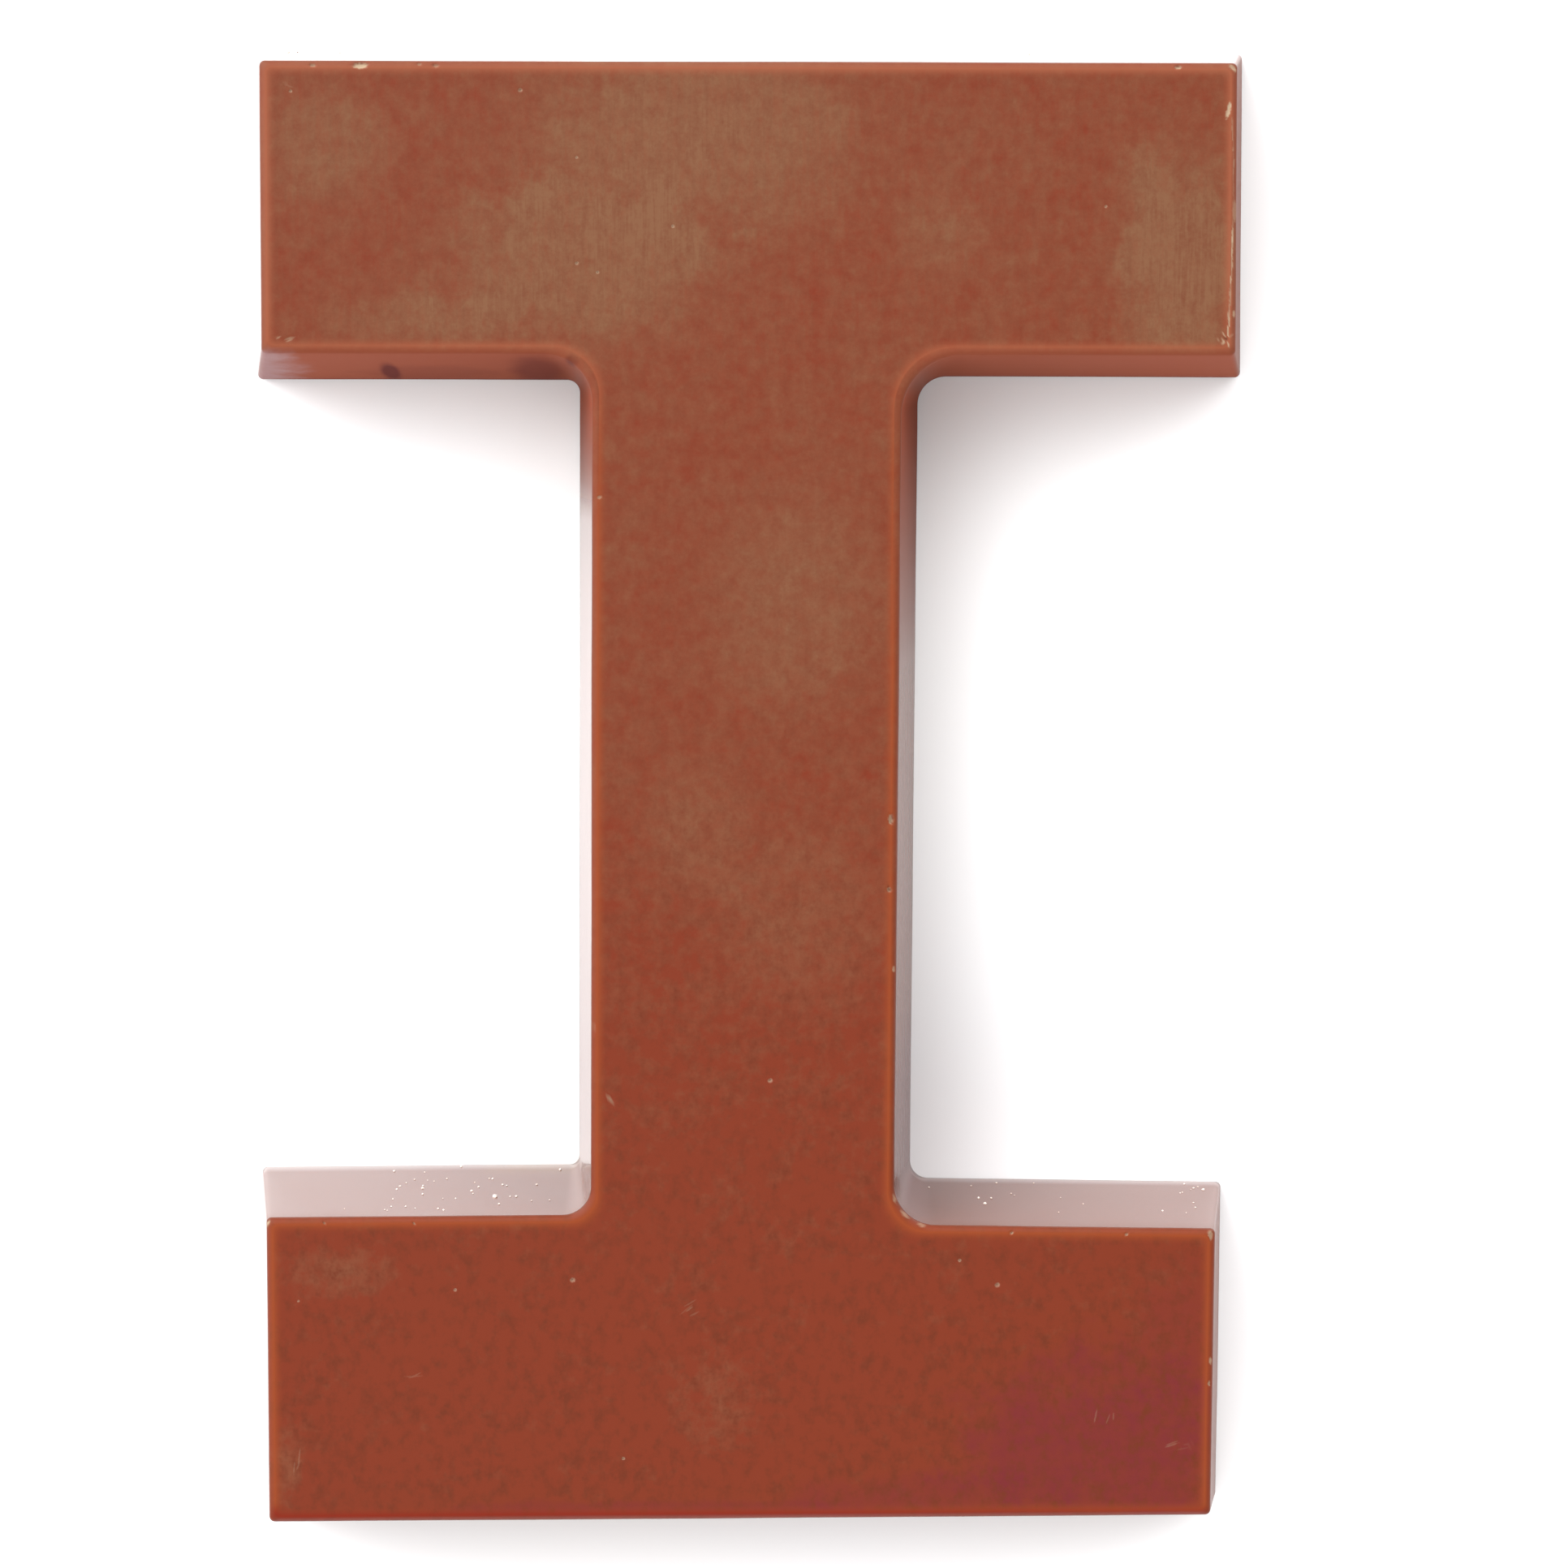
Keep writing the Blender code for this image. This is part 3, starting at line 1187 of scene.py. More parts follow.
class Shader(Nodes):
    """A material's node tree, written as expressions that end in one Principled BSDF."""

    def __init__(self, name: str) -> None:
        """Starts a new material.

        Args:
            name: its name.
        """
        self.material = bpy.data.materials.new(name)
        self.material.use_nodes = True
        super().__init__(self.material.node_tree)
        self.surface = self.tree.nodes["Principled BSDF"]

    def finish(self, **values: Any) -> None:
        """Sets the surface's inputs, with underscores for the spaces in their names."""
        for name, value in values.items():
            self.put(self.surface.inputs[name.replace("_", " ")], value)

    def place_mm(self) -> bpy.types.NodeSocket:
        """The point on the object, in millimetres."""
        made = self.node("ShaderNodeTexCoord", {}, {})
        return self.scaled(made.outputs["Object"], (1.0 / MM,) * 3)

    def scaled(self, vector: bpy.types.NodeSocket, by: Triple) -> bpy.types.NodeSocket:
        """A vector times another, part by part."""
        made = self.node("ShaderNodeVectorMath", {"operation": "MULTIPLY"}, {0: vector, 1: by})
        return made.outputs[0]

    def parts(self, vector: bpy.types.NodeSocket) -> tuple[Term, Term, Term]:
        """A vector's x, y and z."""
        made = self.node("ShaderNodeSeparateXYZ", {}, {0: vector})
        return self.term(made, 0), self.term(made, 1), self.term(made, 2)

    def noise(self, vector: bpy.types.NodeSocket, grain: Grain) -> Term:
        """Soft noise.

        Args:
            vector: the point, in millimetres.
            grain: the noise's size, detail, roughness and squeeze.

        Returns:
            Its value, from 0 to 1.
        """
        if grain.squeeze:
            vector = self.scaled(vector, grain.squeeze)
        values = {"Vector": vector, "Scale": 1.0 / grain.size_mm}
        values.update({"Detail": grain.detail, "Roughness": grain.rough})
        return self.term(self.node("ShaderNodeTexNoise", {}, values))

    def zone(self, zone: Zone) -> Term:
        """The share of a zone that the mesh gives each point."""
        made = self.node("ShaderNodeAttribute", {"attribute_name": zone.value}, {})
        return self.term(made, "Fac")

    def mix(self, share: Any, first: Any, second: Any) -> bpy.types.NodeSocket:
        """A colour between two colours.

        Args:
            share: how much of the second colour there is, from 0 to 1.
            first: the first colour, or a socket.
            second: the second colour, or a socket.

        Returns:
            The mixed colour's socket.
        """
        colours = [(*c, 1.0) if isinstance(c, tuple) else c for c in (first, second)]
        values = {0: share, 6: colours[0], 7: colours[1]}
        return self.node("ShaderNodeMix", {"data_type": "RGBA"}, values).outputs[2]

    def patch(self, place: bpy.types.NodeSocket, spot: Patch, ragged: Term) -> Term:
        """1 inside a patch and 0 outside it, with its edge blurred and made ragged.

        Args:
            place: the point, in millimetres.
            spot: the patch's middle, half sizes and strength.
            ragged: noise of 0 to 1 that the edge follows.

        Returns:
            The share of the patch, times its strength.
        """
        shift = {0: place, 1: (-spot.x_mm, -spot.y_mm, 0.0)}
        moved = self.node("ShaderNodeVectorMath", {"operation": "ADD"}, shift).outputs[0]
        sized = self.scaled(moved, (1.0 / spot.half_width_mm, 1.0 / spot.half_height_mm, 0.0))
        away = self.term(self.node("ShaderNodeVectorMath", {"operation": "LENGTH"}, {0: sized}), "Value")
        away = away + (ragged - NOISE_MIDDLE) * spot.raggedness()
        return (1.0 - away.between(*spot.soft_edge)) * spot.strength

    def bump(self, height: Term, distance: float, strength: float) -> bpy.types.NodeSocket:
        """A normal roughened by a height, with the distance in metres."""
        values = {"Height": height, "Distance": distance, "Strength": strength}
        return self.node("ShaderNodeBump", {}, values).outputs[0]


@dataclass(frozen=True)
class MilkChocolate:
    """Milk chocolate from a smooth mould: satin, faintly mottled, with streaks on the head."""

    name: str = "milk_chocolate"
    warm: Colour = (0.1195, 0.0178, 0.0055)
    # A greyer colour for the face's matte patches and the head: a painted sheen.
    dull: Colour = (0.1280, 0.0535, 0.0245)
    red: Colour = (0.1025, 0.0110, 0.0125)
    deep: Colour = (0.0910, 0.0155, 0.0045)
    # The edge colours are painted light: a glow along the rounded edges, paler on the head, darker at the
    # bottom edge.
    edge: Colour = (0.1840, 0.0340, 0.0070)
    head_edge: Colour = (0.2070, 0.0570, 0.0260)
    low_edge: Colour = (0.1350, 0.0070, 0.0005)
    wall: Colour = (0.1060, 0.0270, 0.0115)
    # Painted light: the sheltered walls' lighter, redder colour, and the stem's under the head.
    sheltered: Colour = (0.1730, 0.0410, 0.0195)
    stem_shelter: Colour = (0.2050, 0.0360, 0.0100)
    # Real stains, and the painted contact shade low on the sheltered walls.
    stained: Colour = (0.0750, 0.0110, 0.0070)
    # Painted highlight on the head's underside wall.
    bloomed: Colour = (0.2200, 0.1300, 0.1300)
    hazy: Colour = (0.1080, 0.0340, 0.0200)
    fresh: Colour = (0.28, 0.20, 0.13)
    poured: Colour = (0.095, 0.022, 0.009)
    face_roughness: float = 0.52
    wall_roughness: float = 0.27
    glossy_roughness: float = 0.12
    sheltered_roughness: float = 1.0
    poured_roughness: float = 0.55
    dull_patches: tuple[Patch, ...] = (
        Patch(-4.0, 45.0, 12.0, 6.5, 0.75),
        Patch(-11.5, 36.5, 9.5, 5.5, 0.80),
        Patch(29.5, 37.5, 4.5, 7.5, 1.05),
        Patch(-28.6, 44.4, 4.0, 4.0, 0.60),
        Patch(-21.0, 33.0, 8.0, 1.8, 0.60),
        Patch(13.0, 39.0, 3.0, 3.5, 0.35),
        Patch(3.3, 13.5, 5.5, 7.5, 0.45),
        Patch(-3.4, -2.0, 4.0, 5.0, 0.35),
        Patch(3.5, -8.0, 5.5, 6.0, 0.35),
        Patch(-2.2, -41.8, 3.5, 4.0, 0.35),
        Patch(-28.0, -32.7, 4.0, 1.8, 0.45),
        Patch(-31.7, -46.0, 1.2, 3.0, 0.50),
    )
    red_patches: tuple[Patch, ...] = (
        Patch(24.5, -44.5, 9.5, 6.0, 0.80),
        Patch(12.5, -48.5, 8.0, 1.8, 0.45),
        Patch(-6.0, -49.2, 14.0, 0.6, 0.50),
        Patch(29.5, -37.0, 3.5, 5.0, 0.30),
    )
    stain_patches: tuple[Patch, ...] = (
        Patch(-24.9, 29.35, 0.65, 0.55, 0.95),
        Patch(-14.6, 29.4, 1.9, 1.0, 0.65),
        Patch(-22.0, 29.2, 5.0, 0.5, 0.25),
        Patch(-11.9, 30.1, 0.5, 0.45, 0.90),
    )
    # Where the painted highlight lies.
    bloom_patch: Patch = Patch(-34.6, 29.9, 3.2, 1.8, 0.90)
    # A painted shade on the stem's right wall, and its colour.
    grey_patch: Patch = Patch(11.6, -22.5, 1.7, 6.5, 0.85)
    grey: Colour = (0.0900, 0.0230, 0.0200)
    tan_patch: Patch = Patch(-14.6, -26.8, 3.8, 1.6, 0.90)
    tan: Colour = (0.1400, 0.0600, 0.0200)
    tan_mm: tuple[float, float] = (1.2, 3.0)
    # Heights from the back over which the painted contact shade fades out.
    rim_mm: tuple[float, float] = (0.3, 1.2)
    head_mm: tuple[float, float] = (22.0, 34.0)
    # Where the face rises from the foot towards the head, for its painted sheen and its mottle.
    high_mm: tuple[float, float] = (-45.0, 20.0)
    low_edge_mm: tuple[float, float] = (-49.6, -48.6)
    stem_shelter_mm: tuple[float, float] = (27.4, 28.6)
    ragged: Grain = Grain(3.2, 4.0, 0.62)
    cloud: Grain = Grain(1.1, 4.0, 0.65)
    speckle: Grain = Grain(0.3, 2.0, 0.7)
    fleck: Grain = Grain(0.75, squeeze=(1.0, 0.7, 0.7))
    narrow: Grain = Grain(1.0, squeeze=(4.0, 0.28, 0.28))
    broad: Grain = Grain(1.0, squeeze=(0.9, 0.10, 0.10))
    stripe: Grain = Grain(1.0, 3.0, squeeze=(0.35, 0.35, 1.4))
    pores: Grain = Grain(0.22)
    lumps: Grain = Grain(3.0, 2.0, 0.5)
    scrapes: Grain = Grain(1.0, 3.0, squeeze=(0.12, 1.5, 1.0))
    banded: tuple[float, float] = (0.35, 0.65)
    streak_shares: tuple[float, float] = (0.3, 0.7)
    patch_dullness: float = 0.75
    streak_dullness: float = 0.3
    band_dullness: float = 0.3
    dull_mottle: Mottle = Mottle(cloud=1.8, ragged=1.3)
    mottle_dullness: float = 0.6
    least_dull: float = 0.10
    # How much painted sheen the face gains towards the head.
    high_dullness: float = 0.44
    deep_mottle: Mottle = Mottle(speckle=2.8, fleck=3.4, ragged=1.2)
    low_mottle: Mottle = Mottle(fleck=1.6, cloud=1.8, ragged=0.8)
    streak_depth: float = 1.2
    deep_share: float = 0.18
    deep_contrast: tuple[float, float] = (0.4, 0.18)
    red_shares: tuple[float, float] = (0.9, 1.6)
    bloom_shares: tuple[float, float] = (0.75, 0.5)
    smooth_gloss: tuple[float, float] = (0.0, 0.5)
    coated_gloss: tuple[float, float] = (0.5, 1.0)
    dull_roughening: float = 0.05
    stripe_roughening: float = 0.05
    scuff_roughening: float = 0.20
    pore_relief: float = 0.30
    streak_relief: float = 0.35
    lump_relief: float = 0.6
    scrape_relief: float = 3.0
    relief_strength: float = 0.6
    # How strongly the painted edge glow shows.
    edge_strength: float = 0.8
    # How dark the painted contact shade gets.
    rim_strength: float = 0.6
    wall_coat: float = 0.15
    polished_coat: float = 0.85
    coat_roughness: float = 0.12
    refraction: float = 1.25
    relief_m: float = 0.00002

    def material(self) -> bpy.types.Material:
        """Builds the finish.

        Returns:
            Its material.
        """
        shader = Shader(self.name)
        place = shader.place_mm()
        _, y, z = shader.parts(place)
        wall, edge, back, scuff, sheltered, glossy = (shader.zone(zone) for zone in Zone)
        face = (1.0 - wall) * (1.0 - back)

        ragged, cloud, speckle, fleck, narrow, broad = (
            shader.noise(place, grain)
            for grain in (self.ragged, self.cloud, self.speckle, self.fleck, self.narrow, self.broad)
        )
        layers = {"speckle": speckle, "fleck": fleck, "cloud": cloud, "ragged": ragged}
        head = y.between(*self.head_mm)
        high = y.between(*self.high_mm)

        def patches(spots: Iterable[Patch]) -> Term:
            """The shares of several patches together."""
            return reduce(operator.add, (shader.patch(place, spot, ragged) for spot in spots))

        def mottled(mottle: Mottle) -> Term:
            """The layers of noise round their middle, each as strong as the mottle says."""
            shares = ((layers[name], share) for name, share in asdict(mottle).items() if share)
            return reduce(operator.add, ((layer - NOISE_MIDDLE) * share for layer, share in shares))

        # Painted sheen: the face takes a greyer colour on its matte patches, streaks and bands, and more of
        # it up towards the head, standing in for the sheen of light on the face. The same share makes the
        # face a little rougher.
        dull = patches(self.dull_patches)
        shown = self.streak_shares[0] + self.streak_shares[1] * dull.clamped()
        streaks = (narrow.between(*self.banded) - NOISE_MIDDLE) * shown * head
        bands = (broad - NOISE_MIDDLE) * self.band_dullness * head
        dull = dull * self.patch_dullness + streaks * self.streak_dullness + bands
        dull = dull + mottled(self.dull_mottle) * self.mottle_dullness
        dull = (dull - self.least_dull + self.high_dullness * high) * face
        deep = mottled(self.deep_mottle) + streaks * self.streak_depth
        deep = self.deep_share + deep * (self.deep_contrast[0] - self.deep_contrast[1] * high)
        deep = deep + mottled(self.low_mottle) * (1.0 - high)

        colour = shader.mix(dull.clamped(), self.warm, self.dull)
        uneven = self.red_shares[0] + (cloud - NOISE_MIDDLE) * self.red_shares[1]
        redder = patches(self.red_patches) * uneven
        colour = shader.mix((redder * face).clamped(), colour, self.red)
        colour = shader.mix(deep.clamped(), colour, self.deep)
        colour = shader.mix(wall, colour, self.wall)
        stripe = shader.noise(place, self.stripe)
        colour = shader.mix(wall * stripe.between(*self.banded), colour, self.hazy)
        # Painted shade: a greyer, darker patch on the lower part of the stem's right wall, near the foot,
        # standing in for the shaded table that it reflects.
        colour = shader.mix(patches([self.grey_patch]) * wall, colour, self.grey)
        tan = patches([self.tan_patch]) * (1.0 - z.between(*self.tan_mm)) * wall
        colour = shader.mix(tan, colour, self.tan)
        # Painted light on the rounded edges: a brighter orange glow, as of light shining through the
        # chocolate there, paler on the head, where the sheen lies, and darker red along the bottom edge,
        # which faces away from the light.
        edge_colour = shader.mix(y.between(*self.low_edge_mm), self.low_edge, self.edge)
        edge_colour = shader.mix(head, edge_colour, self.head_edge)
        colour = shader.mix(edge * edge * self.edge_strength, colour, edge_colour)
        # Painted light on the sheltered walls: lighter and redder than the open walls, most on the stem
        # below the head, standing in for light that reaches them in the head's shade. The stain patches are
        # dark spots on the wall.
        shelter = shader.mix(patches(self.stain_patches).clamped(), self.sheltered, self.stained)
        shelter = shader.mix(y.between(*self.stem_shelter_mm), self.stem_shelter, shelter)
        # Painted shade: the sheltered walls darken towards the back, where they meet the table.
        low = (1.0 - z.between(*self.rim_mm)) * self.rim_strength
        shelter = shader.mix(low, shelter, self.stained)
        # Painted highlight: a pale patch at the left end of the head's underside wall, where light glances
        # off it.
        uneven = self.bloom_shares[0] + self.bloom_shares[1] * cloud
        highlight_share = patches([self.bloom_patch]) * uneven
        shelter = shader.mix(highlight_share.clamped(), shelter, self.bloomed)
        colour = shader.mix(sheltered, colour, shelter)
        colour = shader.mix(back, colour, self.poured)
        colour = shader.mix(scuff, colour, self.fresh)

        pores = shader.noise(place, self.pores)
        lumps = shader.noise(place, self.lumps)
        scrapes = shader.noise(place, self.scrapes)
        relief = (
            pores * self.pore_relief
            + narrow * self.streak_relief * head
            + lumps * self.lump_relief * wall
            + scrapes * self.scrape_relief * back
        )
        rough = (
            self.face_roughness
            + self.dull_roughening * dull
            + (self.wall_roughness - self.face_roughness) * wall
            + (self.glossy_roughness - self.wall_roughness) * glossy.between(*self.smooth_gloss)
            + self.stripe_roughening * (stripe - NOISE_MIDDLE) * wall
            + (self.sheltered_roughness - self.wall_roughness) * sheltered
            + (self.poured_roughness - self.face_roughness) * back
            + self.scuff_roughening * scuff
        )
        coat = wall * (1.0 - sheltered) * self.wall_coat
        coat = coat + glossy.between(*self.coated_gloss) * self.polished_coat
        shader.finish(
            Base_Color=colour,
            Roughness=rough,
            Normal=shader.bump(relief, self.relief_m, self.relief_strength),
            IOR=self.refraction,
            Coat_Weight=coat,
            Coat_Roughness=self.coat_roughness,
        )
        return shader.material


@dataclass(frozen=True)
class GlintPaintedCrumb:
    """A crumb's near-white colour: paler broken chocolate, with a painted glint of light over it."""

    name: str = "glint_painted_crumb"
    # Near white: painted glints on the crumbs.
    pale: Colour = (0.86, 0.82, 0.76)
    deep: Colour = (0.60, 0.50, 0.43)
    mottle: Grain = Grain(0.12)
    mottle_rise: tuple[float, float] = (0.3, 0.7)
    roughness: tuple[float, float] = (0.45, 0.2)
    pores: Grain = Grain(0.05)
    relief_m: float = 0.00001
    relief_strength: float = 0.5

    def material(self) -> bpy.types.Material:
        """Builds the finish.

        Returns:
            Its material.
        """
        shader = Shader(self.name)
        place = shader.place_mm()
        mottle = shader.noise(place, self.mottle)
        colour = shader.mix(mottle.between(*self.mottle_rise), self.deep, self.pale)
        pores = shader.noise(place, self.pores)
        shader.finish(
            Base_Color=colour,
            Roughness=self.roughness[0] + self.roughness[1] * mottle,
            Normal=shader.bump(pores, self.relief_m, self.relief_strength),
        )
        return shader.material


@dataclass(frozen=True)
class PaleTable:
    """The white table top."""

    name: str = "pale_table"
    light: Colour = (0.86, 0.86, 0.86)
    shade: Colour = (0.84, 0.84, 0.85)
    cloud: Grain = Grain(60.0, 2.0, 0.5)
    cloud_rise: tuple[float, float] = (0.3, 0.7)
    roughness: tuple[float, float] = (0.5, 0.1)

    def material(self) -> bpy.types.Material:
        """Builds the finish.

        Returns:
            Its material.
        """
        shader = Shader(self.name)
        cloud = shader.noise(shader.place_mm(), self.cloud)
        shader.finish(
            Base_Color=shader.mix(cloud.between(*self.cloud_rise), self.light, self.shade),
            Roughness=self.roughness[0] + self.roughness[1] * cloud,
        )
        return shader.material


@dataclass
class Letter:
    """The chocolate letter: its fine mesh in place of the block's solid."""

    block: Block = field(default_factory=Block)
    finish: MilkChocolate = field(default_factory=MilkChocolate)

    def build(self) -> bpy.types.Object:
        """Builds, dresses and places the letter.

        Returns:
            The letter's object.
        """
        marks = Handling(self.block).marks()
        surface = LetterMesh(self.block, marks)
        surface.build()
        letter = surface.to_object("moulded_letter")
        letter.data.materials.append(self.finish.material())
        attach(letter, "root")
        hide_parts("letter")
        counts = len(surface.points), len(surface.faces), len(marks)
        LOG.info("letter: %d points, %d faces, %d marks", *counts)
        return letter


class UpWall(Enum):
    """The walls that face up the page, which crumbs cling to."""

    FOOT_LEFT = "foot_left"
    FOOT_RIGHT = "foot_right"
    TOP = "top"


@dataclass
class Crumbs:
    """Crumbs of chocolate that cling to the walls of the foot and to the top wall."""

    block: Block
    finish: GlintPaintedCrumb = field(default_factory=GlintPaintedCrumb)
    seed: int = 5
    sides: int = 7
    lowest_mm: float = 0.4
    highest_mm: float = 10.8
    dust_mm: tuple[float, float] = (0.04, 0.08)
    tip_rise: tuple[float, float] = (0.6, 0.9)
    rings: tuple[tuple[float, float], ...] = ((0.45, 0.75), (0.0, 1.0), (-0.5, 0.7))
    reach_spread: tuple[float, float] = (0.75, 1.15)
    rise_spread: tuple[float, float] = (0.8, 1.1)
    sunk: float = 0.7

    def wall_point(self, x: float, wall: UpWall, height: float) -> tuple[Vector, Vector]:
        """A point on a wall that faces up the page.

        Args:
            x: how far right it is.
            wall: the wall.
            height: how high it is.

        Returns:
            The point, and the way that the wall faces there.
        """
        block = self.block
        middle = block.middle()
        end = block.face_height_mm / 2
        left, right = block.foot_left_depth_mm - end, block.foot_right_depth_mm - end
        tilt, lean, distance = {
            UpWall.FOOT_LEFT: (block.foot_left_arm_tilt, block.left_arm_lean_mm, left),
            UpWall.FOOT_RIGHT: (block.foot_right_arm_tilt, block.right_arm_lean_mm, right),
            UpWall.TOP: (0.0, block.outer_lean_mm, end),
        }[wall]
        out = direction(Facing.UP.value + tilt)
        reach = distance + lean * (1.0 - height / block.thickness_mm)
        y = (reach - (x + middle[0]) * out[0]) / out[1] - middle[1]
        facing = Vector((out[0], out[1], lean / block.thickness_mm)).normalized()
        return Vector((x, y, height)), facing

    def crumb(
        self, place: Vector, facing: Vector, size: float, draw: random.Random
    ) -> tuple[list[Vector], list[tuple[int, ...]]]:
        """One crumb: a rough seven-sided lump, half sunk into the wall.

        Args:
            place: where it sits, in millimetres.
            facing: the way that the wall faces.
            size: its radius in millimetres.
            draw: the source of its irregular shape.

        Returns:
            Its points and its faces.
        """
        around = self.sides
        across = facing.orthogonal().normalized()
        along = facing.cross(across)
        points = [place + facing * size * draw.uniform(*self.tip_rise)]
        for ring, (rise, reach) in enumerate(self.rings):
            for number in range(around):
                angle = 2 * math.pi * (number + 0.5 * (ring % 2)) / around
                out = across * math.cos(angle) + along * math.sin(angle)
                radius = size * reach * draw.uniform(*self.reach_spread)
                lift = facing * size * rise * draw.uniform(*self.rise_spread)
                points.append(place + out * radius + lift)
        points.append(place - facing * size * self.sunk)
        faces = [(0, 1 + n, 1 + (n + 1) % around) for n in range(around)]
        for ring in range(len(self.rings) - 1):
            first, second = 1 + ring * around, 1 + (ring + 1) * around
            for n in range(around):
                after = (n + 1) % around
                faces.append((first + n, second + n, second + after, first + after))
        last = 1 + (len(self.rings) - 1) * around
        faces.extend((last + n, len(points) - 1, last + (n + 1) % around) for n in range(around))
        return points, faces

    def places(self, draw: random.Random) -> Iterator[tuple[float, UpWall, float, float]]:
        """Where the crumbs sit, singly and in scattered clusters.

        Args:
            draw: the source of the scatter.

        Returns:
            Each crumb's x, wall, height and size.
        """
        left, right, top = UpWall
        yield from (
            (-17.6, left, 7.6, 0.20),
            (-22.8, left, 5.6, 0.12),
            (-19.3, left, 6.3, 0.10),
            (-16.1, left, 7.6, 0.10),
            (-25.1, left, 1.7, 0.09),
            (-20.4, left, 0.8, 0.08),
            (-13.3, left, 1.7, 0.10),
            (-14.8, left, 5.0, 0.08),
            (-17.2, left, 5.0, 0.09),
            (16.7, right, 6.5, 0.12),
            (16.3, right, 5.2, 0.10),
            (17.2, right, 5.2, 0.09),
            (32.4, right, 2.5, 0.12),
            (12.9, right, 2.8, 0.08),
            (23.6, right, 6.3, 0.06),
            (31.4, right, 5.7, 0.06),
            (-32.1, top, 1.9, 0.12),
            (-31.5, top, 1.5, 0.08),
            (-28.5, top, 1.8, 0.10),
            (-3.7, top, 1.6, 0.08),
            (19.5, top, 1.7, 0.13),
        )
        clusters = (
            (-22.8, left, 6.0, 1.9, 2.2, 9),
            (-20.0, left, 5.4, 7.0, 4.2, 16),
            (-25.5, left, 10.2, 5.0, 0.6, 7),
            (24.0, right, 5.0, 8.5, 4.2, 10),
            (31.6, right, 4.5, 1.0, 4.0, 6),
        )
        for x, wall, height, spread, tall, count in clusters:
            for _ in range(count):
                yield (
                    x + draw.uniform(-spread, spread),
                    wall,
                    min(max(height + draw.uniform(-tall, tall), self.lowest_mm), self.highest_mm),
                    draw.uniform(*self.dust_mm),
                )

    def build(self) -> bpy.types.Object:
        """Builds, dresses and places the crumbs as one piece.

        Returns:
            The crumbs' object.
        """
        draw = random.Random(self.seed)
        points: list[Vector] = []
        faces: list[tuple[int, ...]] = []
        for x, wall, height, size in self.places(draw):
            place, facing = self.wall_point(x, wall, height)
            lump, sides = self.crumb(place, facing, size, draw)
            base = len(points)
            points.extend(lump)
            faces.extend(tuple(base + corner for corner in side) for side in sides)
        crumbs = new_object("clinging_crumbs", [tuple(point * MM) for point in points], faces)
        crumbs.data.materials.append(self.finish.material())
        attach(crumbs, "root")
        LOG.info("crumbs: %d points, %d faces", len(points), len(faces))
        return crumbs


@dataclass(frozen=True)
class Glow:
    """A smooth round glow in the room's light: its middle in degrees from +X and above the table."""

    azimuth: float
    elevation: float
    strength: float

    def way(self) -> Triple:
        """The unit vector to the middle of the glow."""
        plan = direction(self.azimuth) * math.cos(math.radians(self.elevation))
        return plan[0], plan[1], math.sin(math.radians(self.elevation))


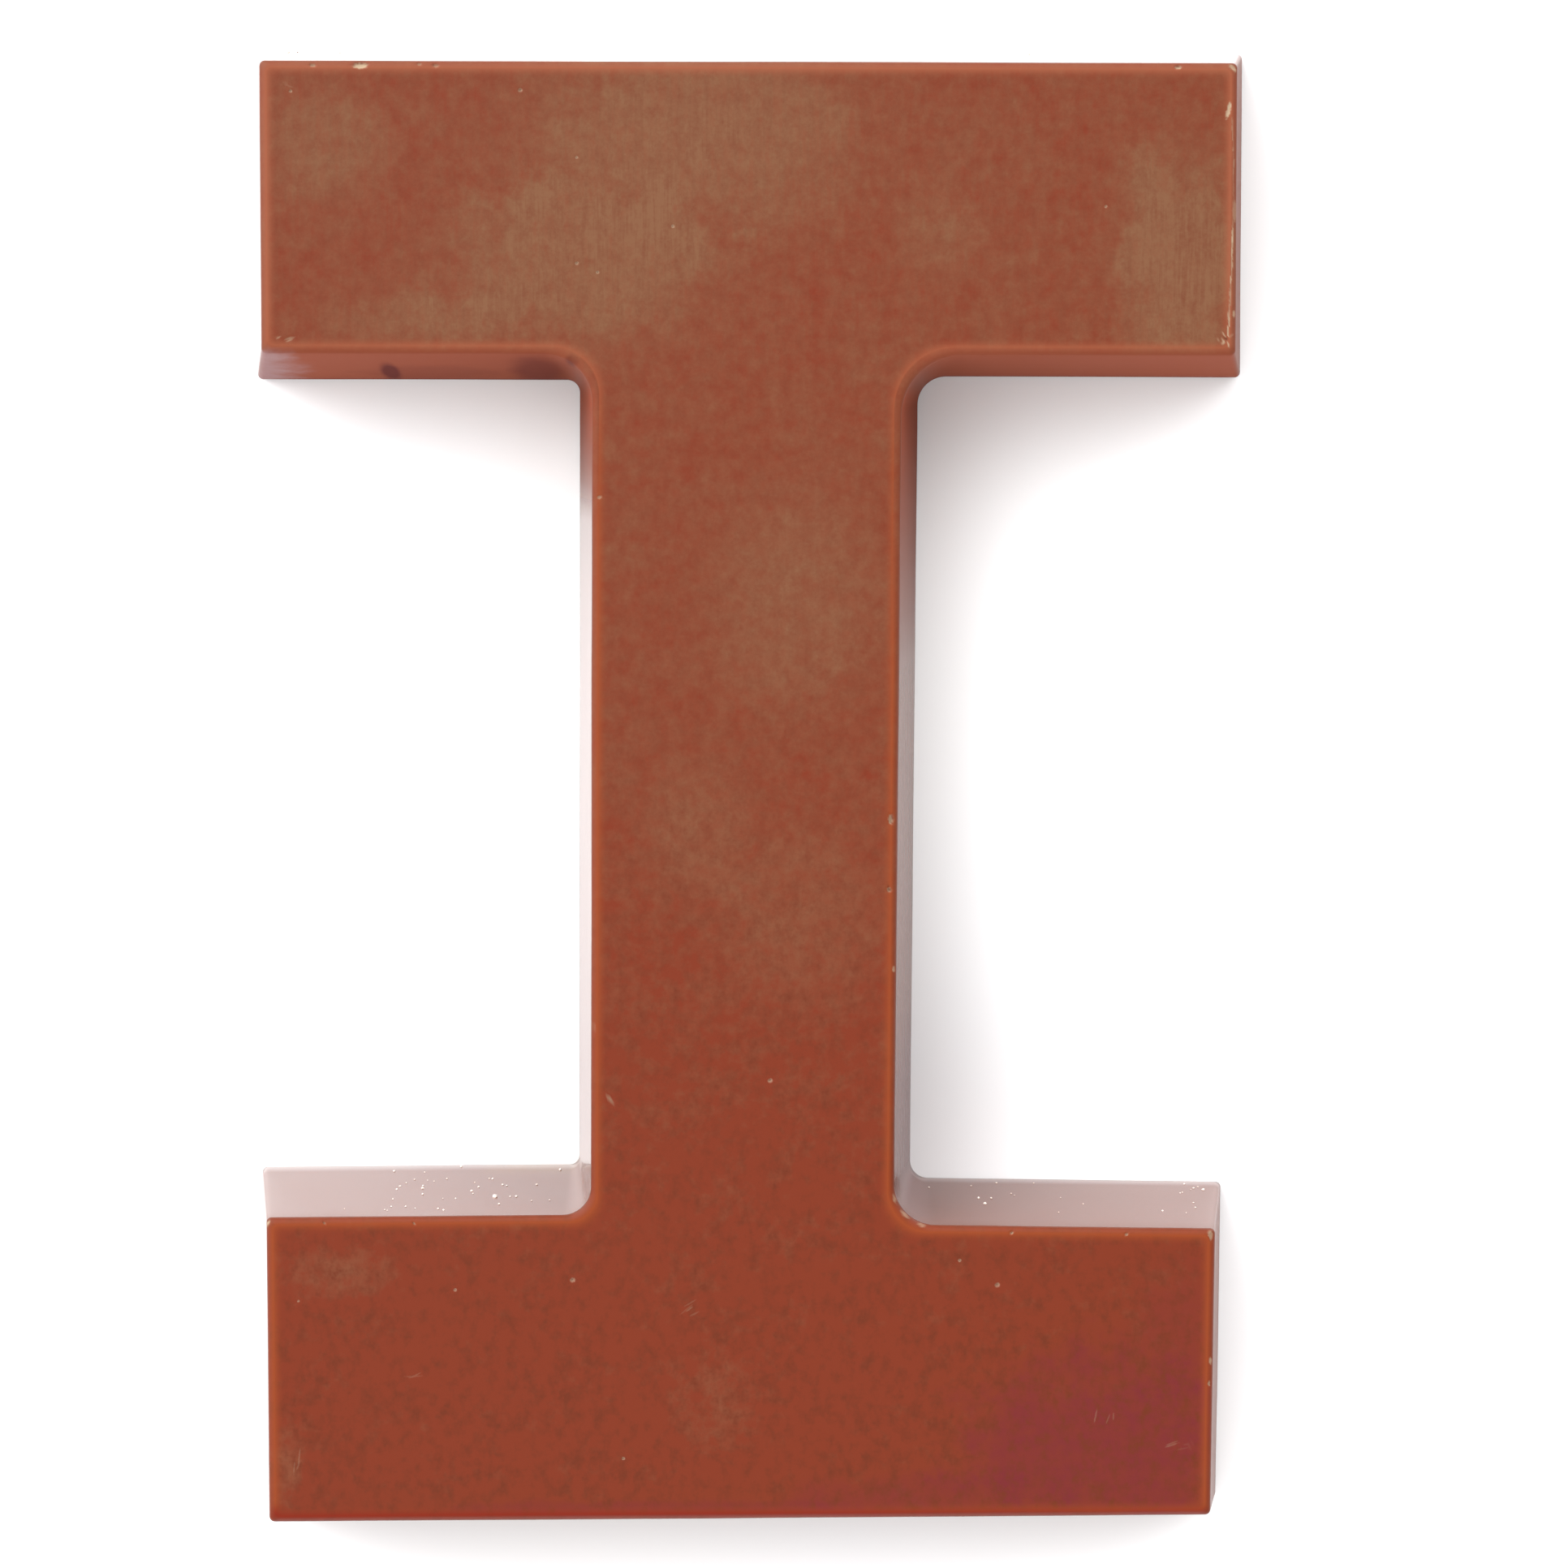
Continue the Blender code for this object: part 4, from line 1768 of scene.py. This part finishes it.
@dataclass
class Studio:
    """The pale table, the room's soft light, mostly from beyond the letter's top, and the camera."""

    table_size: float = 6.0
    glows: tuple[Glow, ...] = (
        Glow(135.0, 40.0, 7.9),
        Glow(135.0, 15.0, 3.4),
        Glow(180.0, 15.0, 2.2),
        Glow(45.0, 15.0, 5.6),
        Glow(45.0, 40.0, 1.4),
        Glow(270.0, 15.0, 8.0),
    )
    glow_falloff: float = 8.0
    camera_place: Triple = (0.00101, 0.02624, 0.31720)
    nearest: float = 0.01
    camera_pitch: float = 4.68
    camera_yaw: float = 0.28
    camera_roll: float = -0.11
    focal_px: float = 5520.0
    frame_px: float = 1932.0
    sensor: float = 36.0

    def table(self) -> bpy.types.Object:
        """The table top, whose surface is the floor that the letter lies on.

        Returns:
            The table's object.
        """
        half = self.table_size / 2
        corners = [(-half, -half, 0.0), (half, -half, 0.0), (half, half, 0.0), (-half, half, 0.0)]
        table = new_object("table_top", corners, [(0, 1, 2, 3)])
        table.data.materials.append(PaleTable().material())
        return table

    def room(self) -> None:
        """The room's light: smooth glows round a dark room, which leave broad soft highlights."""
        world = bpy.data.worlds.new("room")
        world.use_nodes = True
        nodes = Nodes(world.node_tree)
        way = nodes.node("ShaderNodeTexCoord", {}, {}).outputs["Generated"]

        def glow(spot: Glow) -> Term:
            """One glow's strength at each direction.

            Args:
                spot: the glow.

            Returns:
                The strength.
            """
            values = {0: way, 1: spot.way()}
            facing = nodes.term(
                nodes.node("ShaderNodeVectorMath", {"operation": "DOT_PRODUCT"}, values), "Value"
            )
            return facing.math("MAXIMUM", 0.0).math("POWER", self.glow_falloff) * spot.strength

        background = nodes.tree.nodes["Background"]
        background.inputs["Color"].default_value = (1.0, 1.0, 1.0, 1.0)
        nodes.put(background.inputs["Strength"], reduce(operator.add, map(glow, self.glows)))
        bpy.context.scene.world = world

    def camera(self) -> bpy.types.Object:
        """The camera, almost straight above the letter.

        Returns:
            The camera's object.
        """
        data = bpy.data.cameras.new("camera")
        data.sensor_width = self.sensor
        data.lens = self.sensor * self.focal_px / self.frame_px
        data.clip_start = self.nearest
        camera = bpy.data.objects.new("camera", data)
        bpy.context.scene.collection.objects.link(camera)
        turn = (
            Matrix.Rotation(math.radians(self.camera_roll), 3, "Z")
            @ Matrix.Rotation(math.radians(self.camera_yaw), 3, "Y")
            @ Matrix.Rotation(math.radians(self.camera_pitch), 3, "X")
        )
        camera.matrix_world = Matrix.Translation(self.camera_place) @ turn.transposed().to_4x4()
        bpy.context.scene.camera = camera
        return camera

    def build(self) -> None:
        """Sets up the table, the room's light, the camera and true colours."""
        self.table()
        self.room()
        self.camera()
        bpy.context.scene.view_settings.view_transform = "Standard"
        LOG.info("studio: table, room light of %d glows and camera", len(self.glows))


def main() -> None:
    """Builds the letter, its crumbs and the studio, in that order."""
    logging.basicConfig(level=logging.INFO, format="%(name)s: %(message)s")
    letter = Letter()
    letter.build()
    Crumbs(letter.block).build()
    Studio().build()


if __name__ == "__main__":
    main()
